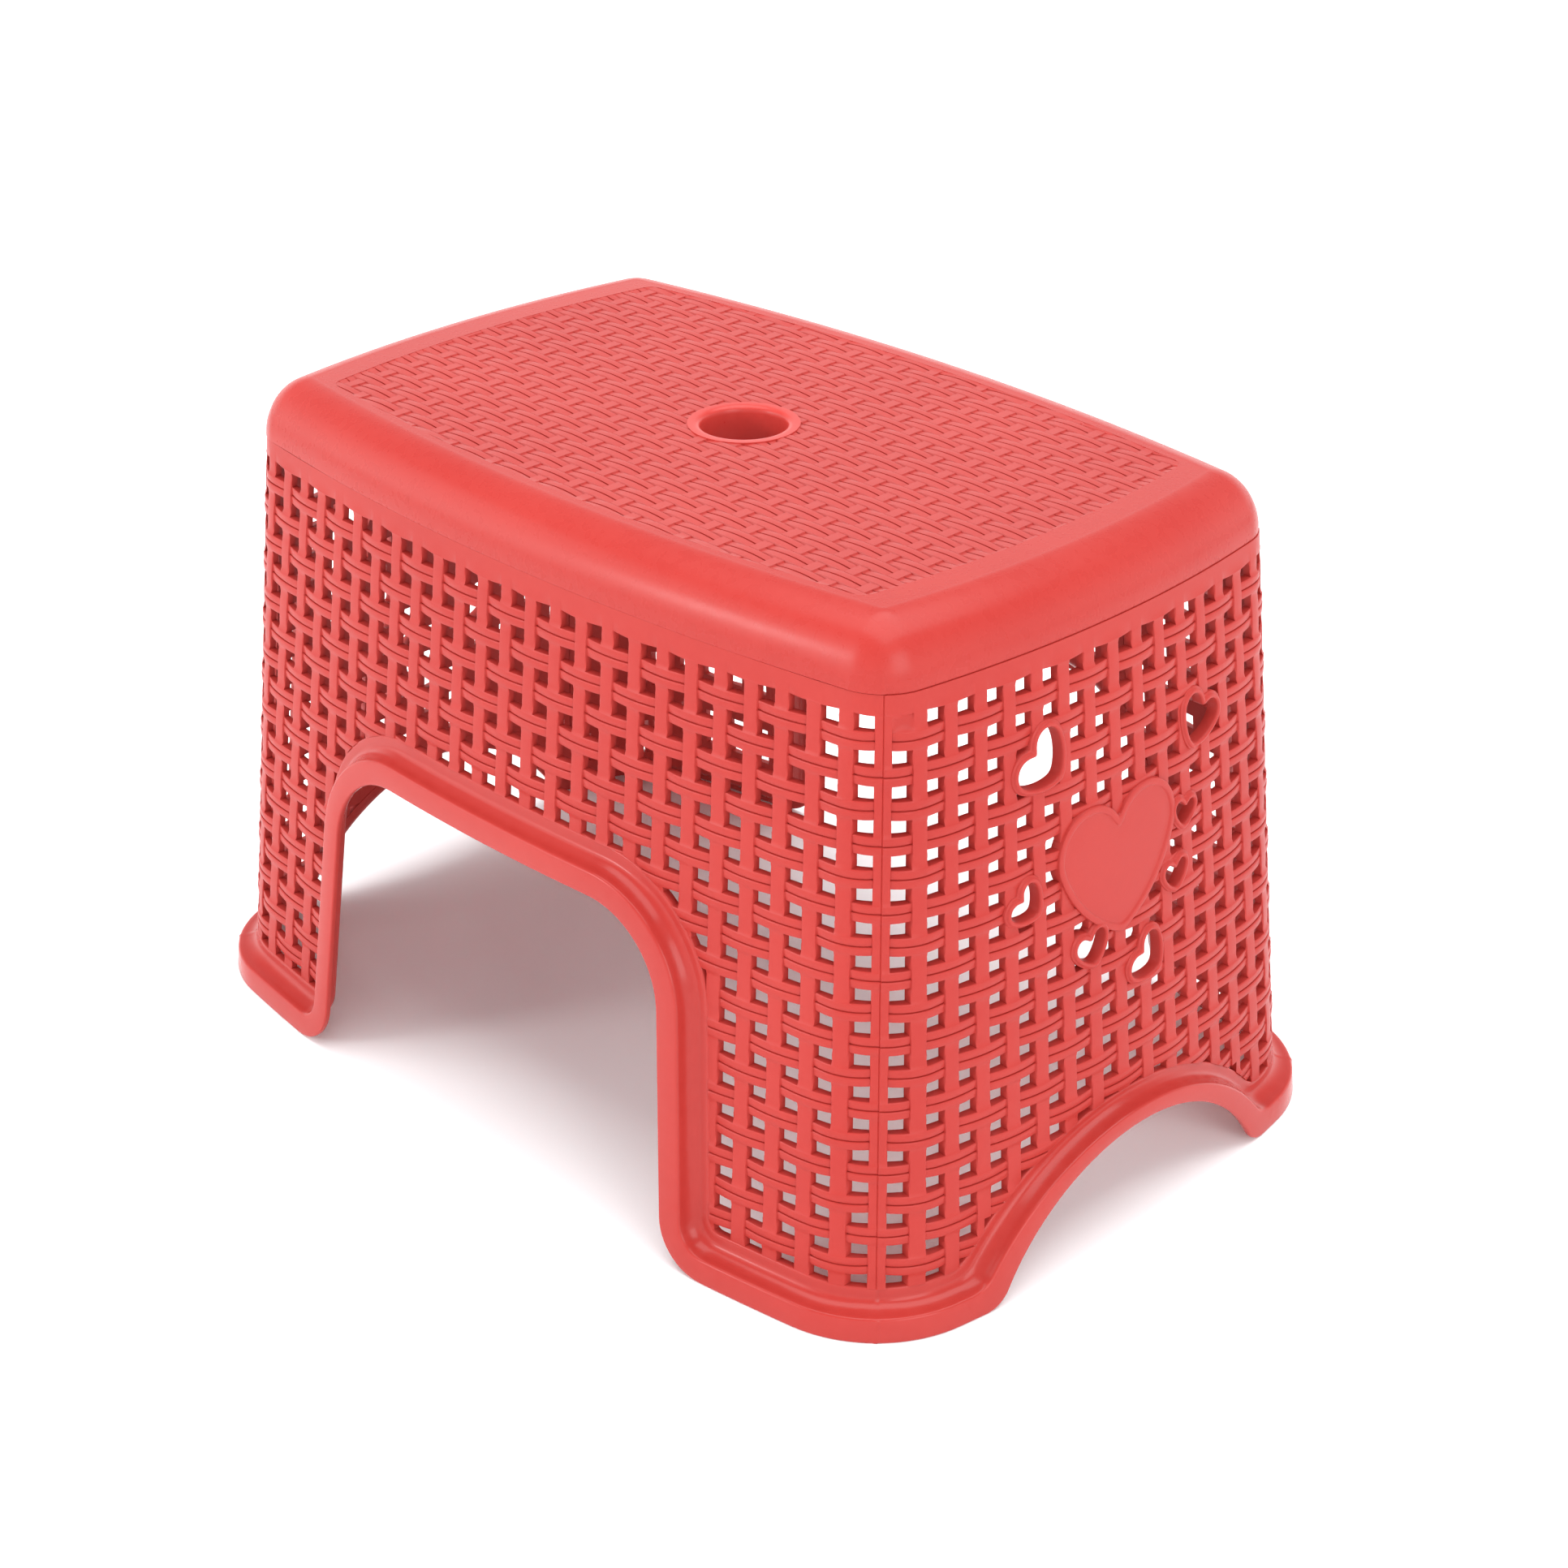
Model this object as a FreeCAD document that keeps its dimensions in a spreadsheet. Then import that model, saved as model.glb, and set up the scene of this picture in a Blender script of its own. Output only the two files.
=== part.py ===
"""Low step stool: one injection moulding in polypropylene with basket-weave walls.

The moulding is split into its named regions, at its parting lines and where its surface changes.
Z is up, the floor is Z = 0 and the origin is the middle of the footprint. The long walls face -Y
(front) and +Y (back), and the end walls face +X (right) and -X (left).
"""
import FreeCAD, Part
import Sketcher
import math
import os

from FreeCAD import Placement, Rotation, Vector

doc = FreeCAD.newDocument("step_stool")
UP = Vector(0, 0, 1)


# ---------------------------------------------------------------- driving dimensions, millimetres
SIZES = [
    # the wall at floor level, outside, without the rim
    ("wall_length", 362.9),
    ("wall_width", 250.4),
    ("height", 233.5),
    ("long_side_radius", 887.0),
    ("end_side_radius", 481.0),
    ("corner_radius", 39.0),
    ("draft_angle", 5.42),
    ("wall_thickness", 2.6),
    # shoulder and seat
    ("shoulder_height", 20.0),
    ("shoulder_width", 17.8),
    ("border_width", 10.2),
    ("panel_corner_radius", 5.0),
    ("finger_hole_diameter", 29.4),
    ("collar_ring_width", 4.4),
    ("collar_depth", 11.0),
    ("collar_wall", 2.2),
    ("rib_depth", 9.0),
    ("rib_thickness", 2.0),
    ("rib_spacing", 44.0),
    ("long_rib_offset", 34.0),
    ("rib_end_gap", 14.0),
    # basket weave
    ("row_pitch", 11.0),
    ("column_pitch", 11.4),
    ("first_row_drop", 29.1),
    ("window_width", 5.8),
    ("window_height", 4.6),
    # rolled rim round the lower edge
    ("rim_reach", 7.2),
    ("lip_thickness", 2.2),
    ("lip_height", 8.0),
    ("cove_height", 3.0),
    ("rim_strip", 15.0),
    # arches in the long walls
    ("arch_height", 118.9),
    ("arch_half_width", 89.6),
    ("arch_side_lean", 4.8),
    ("arch_top_radius", 32.0),
    ("arch_foot_radius", 19.0),
    ("arch_rim_split", 114.0),
    # low arches in the end walls
    ("end_arch_height", 40.2),
    ("end_arch_half_width", 65.2),
    ("end_arch_foot_radius", 11.0),
    ("end_rim_split", 84.0),
    # heart ornament on each end wall
    ("medallion_width", 56.0),
    ("medallion_height", 131.2),
    ("medallion_stand", 1.2),
    ("ring_stand", 1.5),
    ("ring_wall", 2.0),
]

sheet = doc.addObject("Spreadsheet::Sheet", "Sizes")
for line, (alias, value) in enumerate(SIZES, start=1):
    sheet.set("A%d" % line, alias)
    sheet.set("B%d" % line, str(value))
    sheet.setAlias("B%d" % line, alias)
doc.recompute()


def size(alias):
    """The value of a sheet cell."""
    return float(getattr(sheet, alias))


# ---------------------------------------------------------------- plan outline of the walls
HALF_LENGTH = size("wall_length") / 2
HALF_WIDTH = size("wall_width") / 2
HEIGHT = size("height")
DRAFT = math.tan(math.radians(size("draft_angle")))
SHOULDER_Z = HEIGHT - size("shoulder_height")
WALL = size("wall_thickness")

LONG_RADIUS = size("long_side_radius")
END_RADIUS = size("end_side_radius")
CORNER_RADIUS = size("corner_radius")
LONG_CENTRE = Vector(0, LONG_RADIUS - HALF_WIDTH, 0)
END_CENTRE = Vector(HALF_LENGTH - END_RADIUS, 0, 0)


def corner_centre(long_radius, end_radius, corner):
    """Centre of the corner arc in the quadrant +X -Y, tangent inside both side arcs."""
    from_long = long_radius - corner
    from_end = end_radius - corner
    base = END_CENTRE - LONG_CENTRE
    along = (from_long ** 2 - from_end ** 2 + base.Length ** 2) / (2 * base.Length)
    across = math.sqrt(from_long ** 2 - along ** 2)
    direction = Vector(base).normalize()
    sideways = Vector(-direction.y, direction.x, 0)
    return LONG_CENTRE + direction * along + sideways * across


CORNER_CENTRE = corner_centre(LONG_RADIUS, END_RADIUS, CORNER_RADIUS)
LONG_ANGLE = math.asin(CORNER_CENTRE.x / (LONG_RADIUS - CORNER_RADIUS))
END_ANGLE = math.asin(-CORNER_CENTRE.y / (END_RADIUS - CORNER_RADIUS))


def wall_offset(z):
    """How far the outside of the wall stands out from its floor outline at height z."""
    return -z * DRAFT


def side_length(z, radius, angle):
    """Half the length of a side at height z, from its middle to the corner's parting line."""
    offset = wall_offset(z)
    return (radius + offset) * angle + (CORNER_RADIUS + offset) * (math.pi / 4 - angle)


def long_wall_point(share, z):
    """Point and outward turn on the front wall, share 0 in the middle to 1 at the corner line."""
    offset = wall_offset(z)
    run = share * side_length(z, LONG_RADIUS, LONG_ANGLE)
    turn = run / (LONG_RADIUS + offset)
    if abs(turn) <= LONG_ANGLE:
        out = Vector(math.sin(turn), -math.cos(turn), 0)
        point = LONG_CENTRE + out * (LONG_RADIUS + offset)
    else:
        side = math.copysign(1, run)
        rest = abs(run) - (LONG_RADIUS + offset) * LONG_ANGLE
        turn = side * (LONG_ANGLE + rest / (CORNER_RADIUS + offset))
        out = Vector(math.sin(turn), -math.cos(turn), 0)
        centre = Vector(side * CORNER_CENTRE.x, CORNER_CENTRE.y, 0)
        point = centre + out * (CORNER_RADIUS + offset)
    return Vector(point.x, point.y, z), out


def end_wall_point(share, z):
    """Point and outward turn on the right wall, share 0 in the middle to 1 at the corner line."""
    offset = wall_offset(z)
    run = share * side_length(z, END_RADIUS, END_ANGLE)
    turn = run / (END_RADIUS + offset)
    if abs(turn) <= END_ANGLE:
        out = Vector(math.cos(turn), math.sin(turn), 0)
        point = END_CENTRE + out * (END_RADIUS + offset)
    else:
        side = math.copysign(1, run)
        rest = abs(run) - (END_RADIUS + offset) * END_ANGLE
        turn = side * (END_ANGLE + rest / (CORNER_RADIUS + offset))
        out = Vector(math.cos(turn), math.sin(turn), 0)
        centre = Vector(CORNER_CENTRE.x, -side * CORNER_CENTRE.y, 0)
        point = centre + out * (CORNER_RADIUS + offset)
    return Vector(point.x, point.y, z), out


# ---------------------------------------------------------------- rings swept along the outline
def revolved(section, centre, radius, start, sweep):
    """Turn a closed section of (offset, z) points about the upright axis of one side arc."""
    axis_point = Vector(centre.x, centre.y, 0)
    flat = [Vector(centre.x + radius + offset, centre.y, z) for offset, z in section]
    face = Part.Face(Part.makePolygon(flat + flat[:1]))
    face.rotate(axis_point, UP, start)
    return face.revolve(axis_point, UP, sweep)


def long_band(section, half_angle):
    """Part of the front wall's arc, half_angle degrees to each side of its middle."""
    return revolved(section, LONG_CENTRE, LONG_RADIUS, -90 - half_angle, 2 * half_angle)


def end_band(section, half_angle):
    """Part of the right wall's arc, half_angle degrees to each side of its middle."""
    return revolved(section, END_CENTRE, END_RADIUS, -half_angle, 2 * half_angle)


def quadrant_band(section):
    """The band in the quadrant +X -Y: half the front, the corner and half the right end."""
    long_turn = math.degrees(LONG_ANGLE)
    end_turn = math.degrees(END_ANGLE)
    pieces = [
        revolved(section, LONG_CENTRE, LONG_RADIUS, -90, long_turn),
        revolved(section, CORNER_CENTRE, CORNER_RADIUS, -90 + long_turn, 90 - long_turn - end_turn),
        revolved(section, END_CENTRE, END_RADIUS, -end_turn, end_turn),
    ]
    return pieces[0].fuse(pieces[1:]).removeSplitter()


def mirrored_x(shape):
    return shape.mirror(Vector(0, 0, 0), Vector(1, 0, 0))


def mirrored_y(shape):
    return shape.mirror(Vector(0, 0, 0), Vector(0, 1, 0))


def full_ring(section):
    """The band all the way round."""
    quadrant = quadrant_band(section)
    half = quadrant.fuse(mirrored_x(quadrant)).removeSplitter()
    return half.fuse(mirrored_y(half)).removeSplitter()


def outline_wire(offset, z, corner_radius=None):
    """Closed plan outline at a height: four side arcs and four corner arcs."""
    long_radius = LONG_RADIUS + offset
    end_radius = END_RADIUS + offset
    corner = CORNER_RADIUS + offset if corner_radius is None else corner_radius
    centre = corner_centre(long_radius, end_radius, corner)
    from_long = (centre - LONG_CENTRE).normalize()
    from_end = (centre - END_CENTRE).normalize()
    start = centre + from_long * corner
    middle = centre + (from_long + from_end).normalize() * corner
    end = centre + from_end * corner
    front = LONG_CENTRE - Vector(0, long_radius, 0)
    right = END_CENTRE + Vector(end_radius, 0, 0)

    def at(point, flip_x=1, flip_y=1):
        return Vector(flip_x * point.x, flip_y * point.y, z)

    arcs = [
        Part.Arc(at(start, -1), at(front), at(start)),
        Part.Arc(at(start), at(middle), at(end)),
        Part.Arc(at(end), at(right), at(end, 1, -1)),
        Part.Arc(at(end, 1, -1), at(middle, 1, -1), at(start, 1, -1)),
        Part.Arc(at(start, 1, -1), at(front, 1, -1), at(start, -1, -1)),
        Part.Arc(at(start, -1, -1), at(middle, -1, -1), at(end, -1, -1)),
        Part.Arc(at(end, -1, -1), at(right, -1), at(end, -1)),
        Part.Arc(at(end, -1), at(middle, -1), at(start, -1)),
    ]
    return Part.Wire([arc.toShape() for arc in arcs])


def wall_section(inner, outer, low, high):
    """Drafted section between two offsets from the outside of the wall and two heights."""
    return [
        (wall_offset(low) + inner, low),
        (wall_offset(low) + outer, low),
        (wall_offset(high) + outer, high),
        (wall_offset(high) + inner, high),
    ]


# ---------------------------------------------------------------- lower edge of the walls
REACH = HALF_LENGTH + 50
BELOW = -20.0


def long_edge_face(offset):
    """Elevation (X, Z) of all that lies under the front wall's lower edge, moved up by offset."""
    lean = math.radians(size("arch_side_lean"))
    top = size("arch_height") + offset
    foot_radius = max(size("arch_foot_radius") - offset, size("cove_height"))
    top_radius = size("arch_top_radius") + offset
    side = Vector(-math.sin(lean), 0, math.cos(lean))
    out = Vector(math.cos(lean), 0, math.sin(lean))
    edge = Vector(size("arch_half_width"), 0, 0) + out * offset

    def on_offset_side(distance, z):
        start = edge + out * distance
        return start + side * ((z - start.z) / side.z)

    foot_centre = on_offset_side(foot_radius, offset + foot_radius)
    top_centre = on_offset_side(-top_radius, top - top_radius)
    diagonal = (-out - UP).normalize()
    points = [
        foot_centre - UP * foot_radius,
        foot_centre + diagonal * foot_radius,
        foot_centre - out * foot_radius,
        top_centre + out * top_radius,
        top_centre - diagonal * top_radius,
        top_centre + UP * top_radius,
    ]

    def flip(point):
        return Vector(-point.x, 0, point.z)

    lower_right = Vector(REACH, 0, BELOW)
    upper_right = Vector(REACH, 0, offset)
    edges = [
        Part.LineSegment(flip(lower_right), lower_right),
        Part.LineSegment(lower_right, upper_right),
        Part.LineSegment(upper_right, points[0]),
        Part.Arc(points[0], points[1], points[2]),
        Part.LineSegment(points[2], points[3]),
        Part.Arc(points[3], points[4], points[5]),
        Part.LineSegment(points[5], flip(points[5])),
        Part.Arc(flip(points[5]), flip(points[4]), flip(points[3])),
        Part.LineSegment(flip(points[3]), flip(points[2])),
        Part.Arc(flip(points[2]), flip(points[1]), flip(points[0])),
        Part.LineSegment(flip(points[0]), flip(upper_right)),
        Part.LineSegment(flip(upper_right), flip(lower_right)),
    ]
    return Part.Face(Part.Wire([edge_.toShape() for edge_ in edges]))


CROWN_SHARE = 0.62
SPAN_SHARE = 1.35


def end_edge_face(offset):
    """Elevation (Y, Z) of all that lies under the right wall's lower edge, moved up by offset.

    The rim is slimmer over the crown of the low arch than beside its feet.
    """
    crown = size("end_arch_height") + CROWN_SHARE * offset
    span = size("end_arch_half_width") + SPAN_SHARE * offset
    radius = (span ** 2 + crown ** 2) / (2 * crown)
    centre = Vector(0, 0, crown - radius)
    foot_radius = size("end_arch_foot_radius")
    rise = offset + foot_radius - centre.z
    foot_centre = Vector(0, math.sqrt((radius + foot_radius) ** 2 - rise ** 2), offset + foot_radius)
    towards = (centre - foot_centre).normalize()
    start = foot_centre - UP * foot_radius
    middle = foot_centre + (towards - UP).normalize() * foot_radius
    end = foot_centre + towards * foot_radius

    def flip(point):
        return Vector(0, -point.y, point.z)

    lower = Vector(0, REACH, BELOW)
    upper = Vector(0, REACH, offset)
    edges = [
        Part.LineSegment(flip(lower), lower),
        Part.LineSegment(lower, upper),
        Part.LineSegment(upper, start),
        Part.Arc(start, middle, end),
        Part.Arc(end, Vector(0, 0, crown), flip(end)),
        Part.Arc(flip(end), flip(middle), flip(start)),
        Part.LineSegment(flip(start), flip(upper)),
        Part.LineSegment(flip(upper), flip(lower)),
    ]
    return Part.Face(Part.Wire([edge_.toShape() for edge_ in edges]))


def long_zone(offset):
    """Everything under the front wall's lower edge, drawn back along Y to the middle."""
    return long_edge_face(offset).extrude(Vector(0, -REACH, 0))


def end_zone(offset):
    """Everything under the right wall's lower edge, drawn back along X to the middle."""
    return end_edge_face(offset).extrude(Vector(REACH, 0, 0))


def corner_plane_side(toward_front):
    """Block on one side of the upright 45 degree plane through the corner's centre."""
    centre = Vector(CORNER_CENTRE.x, CORNER_CENTRE.y, BELOW)
    far = 4 * REACH
    block = Part.makeBox(far, far, HEIGHT + 4 * abs(BELOW), Vector(-far, -far, 0))
    if not toward_front:
        block = Part.makeBox(far, far, HEIGHT + 4 * abs(BELOW), Vector(0, -far, 0))
    block.translate(Vector(0, far / 2, 0))
    block.rotate(Vector(0, 0, 0), UP, 45)
    block.translate(centre)
    return block


def clear_of_edge(band, offset):
    """A band of the quadrant +X -Y without what lies under the lower edges moved up by offset."""
    front = band.common(corner_plane_side(True)).cut(long_zone(offset))
    end = band.common(corner_plane_side(False)).cut(end_zone(offset))
    return front.fuse(end).removeSplitter()


def under_edge(band, offset):
    """A band of the quadrant +X -Y with only what lies under the lower edges moved up by offset."""
    front = band.common(corner_plane_side(True)).common(long_zone(offset))
    end = band.common(corner_plane_side(False)).common(end_zone(offset))
    return front.fuse(end).removeSplitter()


# ---------------------------------------------------------------- basket-weave windows
FIRST_ROW_Z = HEIGHT - size("first_row_drop")
ROWS = int((FIRST_ROW_Z - size("rim_strip") - size("window_height") / 2) / size("row_pitch")) + 1
ROW_HEIGHTS = [FIRST_ROW_Z - row * size("row_pitch") for row in range(ROWS)]


def column_count(radius, angle):
    """Even number of weave columns on a side, counted at the top row."""
    return 2 * round(side_length(FIRST_ROW_Z, radius, angle) / size("column_pitch"))


LONG_COLUMNS = column_count(LONG_RADIUS, LONG_ANGLE)
END_COLUMNS = column_count(END_RADIUS, END_ANGLE)


def split_column(half_width, z, radius, angle, columns):
    """Number of the upright strand, from the middle, that stands beside an arch."""
    pitch = 2 * side_length(z, radius, angle) / columns
    return round(half_width / pitch)


LEAN_IN = math.tan(math.radians(size("arch_side_lean"))) * size("arch_height")
LONG_SPLIT = split_column(size("arch_half_width") - LEAN_IN, size("arch_height"),
                          LONG_RADIUS, LONG_ANGLE, LONG_COLUMNS)
END_SPLIT = split_column(size("end_arch_half_width"), 0, END_RADIUS, END_ANGLE, END_COLUMNS)


def between_strands(axis):
    """Block between the two upright strands that part a wall's middle from its legs."""
    share = 2 * LONG_SPLIT / LONG_COLUMNS if axis == "X" else 2 * END_SPLIT / END_COLUMNS
    point = long_wall_point if axis == "X" else end_wall_point
    low = point(share, 0)[0]
    high = point(share, SHOULDER_Z)[0]
    low_half = low.x if axis == "X" else low.y
    high_half = high.x if axis == "X" else high.y
    corners = [(-low_half, 0), (low_half, 0), (high_half, SHOULDER_Z), (-high_half, SHOULDER_Z)]
    if axis == "X":
        flat = [Vector(across, 0, z) for across, z in corners]
        draw = Vector(0, -REACH, 0)
    else:
        flat = [Vector(0, across, z) for across, z in corners]
        draw = Vector(REACH, 0, 0)
    return Part.Face(Part.makePolygon(flat + flat[:1])).extrude(draw)


def window(point, out):
    """One opening through the wall, square to it."""
    wide = size("window_width")
    tall = size("window_height")
    deep = 4 * WALL
    box = Part.makeBox(deep, wide, tall, Vector(-deep / 2 - WALL / 2, -wide / 2, -tall / 2))
    box.rotate(Vector(0, 0, 0), UP, math.degrees(math.atan2(out.y, out.x)))
    box.translate(point)
    return box


def window_is_clear(point, out, along, blocks):
    """True where no corner of a window reaches into one of the elevation faces in blocks."""
    across = Vector(-out.y, out.x, 0) * (size("window_width") / 2)
    up = UP * (size("window_height") / 2)
    for corner in (point + across + up, point + across - up, point - across + up,
                   point - across - up, point):
        flat = Vector(corner.x, 0, corner.z) if along == "X" else Vector(0, corner.y, corner.z)
        if any(face.isInside(flat, 0.01, True) for face in blocks):
            return False
    return True


def windows(point_on_wall, columns, first, last, along, blocks):
    """Windows of one wall from column first up to column last, counted from its middle."""
    found = []
    for column in range(first, last):
        share = (2 * column + 1) / columns
        for z in ROW_HEIGHTS:
            point, out = point_on_wall(share, z)
            if window_is_clear(point, out, along, blocks):
                found.append(window(point, out))
    return found


# ---------------------------------------------------------------- hearts on the end walls
HEART_TALL = 0.84
HEART_NOTCH = 0.69
# place across and up from the medallion's middle, width over the lobes, tilt in degrees
HEART_RINGS = [
    (-32.8, 45.4, 24.0, 45.0),
    (42.9, 33.9, 22.5, -28.0),
    (33.8, 5.0, 13.5, -8.0),
    (28.4, -15.0, 14.5, 5.0),
    (-42.0, 0.7, 16.5, 45.0),
    (-14.5, -24.5, 16.5, 12.0),
    (13.2, -38.6, 20.0, 45.0),
]


def heart_face(across, up, wide, tilt, grow=0.0):
    """Heart in the plane of the end wall, centred at (across, up), grown evenly by grow."""
    tall = HEART_TALL * wide
    half = wide / 2
    notch = Vector(0, 0, HEART_NOTCH * wide - tall / 2)
    lobe = Vector(0, half / 2, tall / 2)
    side = Vector(0, half, tall / 2 - half * 0.62)
    hip = Vector(0, half * 0.62, -tall / 2 + half * 0.42)
    tip = Vector(0, 0, -tall / 2)

    def flip(point):
        return Vector(0, -point.y, point.z)

    arcs = [
        Part.Arc(notch, lobe, side),
        Part.Arc(side, hip, tip),
        Part.Arc(tip, flip(hip), flip(side)),
        Part.Arc(flip(side), flip(lobe), notch),
    ]
    wire = Part.Wire([arc.toShape() for arc in arcs])
    if grow:
        wire = wire.makeOffset2D(grow)
    face = Part.Face(wire)
    face.rotate(Vector(0, 0, 0), Vector(1, 0, 0), tilt)
    face.translate(Vector(0, across, up))
    return face


def ring_hearts(grow=0.0):
    """The small hearts of one end wall, at their outer line or grown from it."""
    middle = size("medallion_height")
    return [heart_face(across, middle + up, wide, tilt, grow)
            for across, up, wide, tilt in HEART_RINGS]


def through_end_wall(face):
    """An elevation face of the right wall drawn out along X, from inside the wall to outside."""
    prism = face.extrude(Vector(HALF_LENGTH, 0, 0))
    prism.translate(Vector(HALF_LENGTH / 2, 0, 0))
    return prism


# ---------------------------------------------------------------- building the sub-parts
nodes = []


def feature(name, shape):
    """A sub-part whose shape is worked out from the sheet."""
    item = doc.addObject("Part::Feature", name)
    item.Label = name
    item.Shape = shape
    item.Placement = Placement()
    nodes.append(item)
    return item


def mirror_of(source, name, normal):
    """A sub-part that mirrors another one."""
    item = doc.addObject("Part::Mirroring", name)
    item.Label = name
    item.Source = source
    item.Base = Vector(0, 0, 0)
    item.Normal = normal
    nodes.append(item)
    return item


def turned_copy(source, name):
    """A sub-part that is another one turned half a turn about the upright axis."""
    item = doc.addObject("Part::Feature", name)
    item.Label = name
    item.Shape = source.Shape.copy()
    item.Placement = Placement(Vector(0, 0, 0), Rotation(UP, 180))
    nodes.append(item)
    return item


def origin_plane(body, role):
    for item in body.Origin.OriginFeatures:
        if item.Role == role:
            return item


def bound(item, **expressions):
    for name, expression in expressions.items():
        item.setExpression(name, expression)


def walls():
    """Four woven walls above the arches, each one panel between two upright strands."""
    section = wall_section(-WALL, 0, 0, SHOULDER_Z)
    strip = size("rim_strip")
    long_blocks = [long_edge_face(strip)]
    panel = long_band(section, math.degrees(LONG_ANGLE))
    panel = panel.common(between_strands("X")).cut(long_zone(strip))
    cuts = windows(long_wall_point, LONG_COLUMNS, -LONG_SPLIT, LONG_SPLIT, "X", long_blocks)
    front = feature("front_wall", panel.cut(cuts))
    mirror_of(front, "back_wall", Vector(0, 1, 0))

    medallion = heart_face(0, size("medallion_height"), size("medallion_width"), 0)
    rings = ring_hearts()
    end_blocks = [end_edge_face(strip), medallion] + ring_hearts(grow=0.4)
    panel = end_band(section, math.degrees(END_ANGLE))
    panel = panel.common(between_strands("Y")).cut(end_zone(strip))
    cuts = windows(end_wall_point, END_COLUMNS, -END_SPLIT, END_SPLIT, "Y", end_blocks)
    cuts += [through_end_wall(face) for face in [medallion] + rings]
    right = feature("right_wall", panel.cut(cuts))
    turned_copy(right, "left_wall")


def hearts():
    """A solid raised heart and a group of small open heart rings on each end wall."""
    turn = math.degrees(END_ANGLE)
    plate = end_band(wall_section(-WALL, size("medallion_stand"), 0, SHOULDER_Z), turn)
    medallion = heart_face(0, size("medallion_height"), size("medallion_width"), 0)
    right = feature("heart_medallion_right", plate.common(through_end_wall(medallion)))
    turned_copy(right, "heart_medallion_left")

    collar = end_band(wall_section(-WALL, size("ring_stand"), 0, SHOULDER_Z), turn)
    rings = []
    for outer, inner in zip(ring_hearts(), ring_hearts(grow=-size("ring_wall"))):
        ring = through_end_wall(outer).cut(through_end_wall(inner))
        rings.append(collar.common(ring).cut(through_end_wall(medallion)))
    right = feature("heart_rings_right", Part.makeCompound(rings))
    turned_copy(right, "heart_rings_left")


def legs():
    """Four woven corner legs, from the strand beside one arch round to the strand beside the next."""
    strip = size("rim_strip")
    band = quadrant_band(wall_section(-WALL, 0, 0, SHOULDER_Z))
    leg = clear_of_edge(band, strip).cut([between_strands("X"), between_strands("Y")])
    long_half = LONG_COLUMNS // 2
    end_half = END_COLUMNS // 2
    cuts = windows(long_wall_point, LONG_COLUMNS, LONG_SPLIT, long_half, "X", [long_edge_face(strip)])
    cuts += windows(end_wall_point, END_COLUMNS, -end_half, -END_SPLIT, "Y", [end_edge_face(strip)])
    first = feature("front_right_leg", leg.cut(cuts))
    mirror_of(first, "front_left_leg", Vector(1, 0, 0))
    back = mirror_of(first, "back_right_leg", Vector(0, 1, 0))
    mirror_of(back, "back_left_leg", Vector(1, 0, 0))


def rims():
    """Rolled rim in eight lengths: one over each arch and one round the foot of each leg."""
    strip = size("rim_strip")
    lip = size("lip_height")
    thick = size("lip_thickness")
    reach = size("rim_reach")
    top = size("arch_height") + 2 * strip
    wall_part = under_edge(quadrant_band(wall_section(-WALL, 0, 0, top)), strip)
    wall_part = clear_of_edge(wall_part, lip)
    ledge = under_edge(quadrant_band(wall_section(-WALL, reach, 0, top)), lip)
    ledge = clear_of_edge(ledge, lip - thick)
    lip_part = under_edge(quadrant_band(wall_section(reach - thick, reach, 0, top)), lip - thick)
    lip_part = clear_of_edge(lip_part, 0)
    rim = ledge.fuse([wall_part, lip_part]).removeSplitter()

    half = size("arch_rim_split")
    end_half = size("end_rim_split")
    tall = 2 * HEIGHT
    front_block = Part.makeBox(half, REACH, tall, Vector(0, -REACH, BELOW))
    end_block = Part.makeBox(REACH, end_half, tall, Vector(0, -end_half, BELOW))
    front_half = rim.common(front_block).cut(end_block)
    end_half_rim = rim.common(end_block).cut(front_block)
    front = front_half.fuse(mirrored_x(front_half)).removeSplitter()
    right = end_half_rim.fuse(mirrored_y(end_half_rim)).removeSplitter()
    foot = rim.cut([front_block, end_block])

    front = feature("front_arch_rim", front)
    mirror_of(front, "back_arch_rim", Vector(0, 1, 0))
    right = feature("right_arch_rim", right)
    mirror_of(right, "left_arch_rim", Vector(1, 0, 0))
    first = feature("front_right_foot_rim", foot)
    mirror_of(first, "front_left_foot_rim", Vector(1, 0, 0))
    back = mirror_of(first, "back_right_foot_rim", Vector(0, 1, 0))
    mirror_of(back, "back_left_foot_rim", Vector(1, 0, 0))


def shoulder():
    """Rounded shoulder between the walls and the seat: a quarter ellipse in section."""
    steps = 12
    base = wall_offset(SHOULDER_Z)

    def quarter(wide, tall, reverse):
        centre = base - size("shoulder_width")
        turns = [math.pi / 2 * step / steps for step in range(steps + 1)]
        if reverse:
            turns = turns[::-1]
        return [(centre + wide * math.cos(turn), SHOULDER_Z + tall * math.sin(turn)) for turn in turns]

    outer = quarter(size("shoulder_width"), size("shoulder_height"), False)
    inner = quarter(size("shoulder_width") - WALL, size("shoulder_height") - WALL, True)
    feature("shoulder", full_ring(outer + inner))


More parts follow.
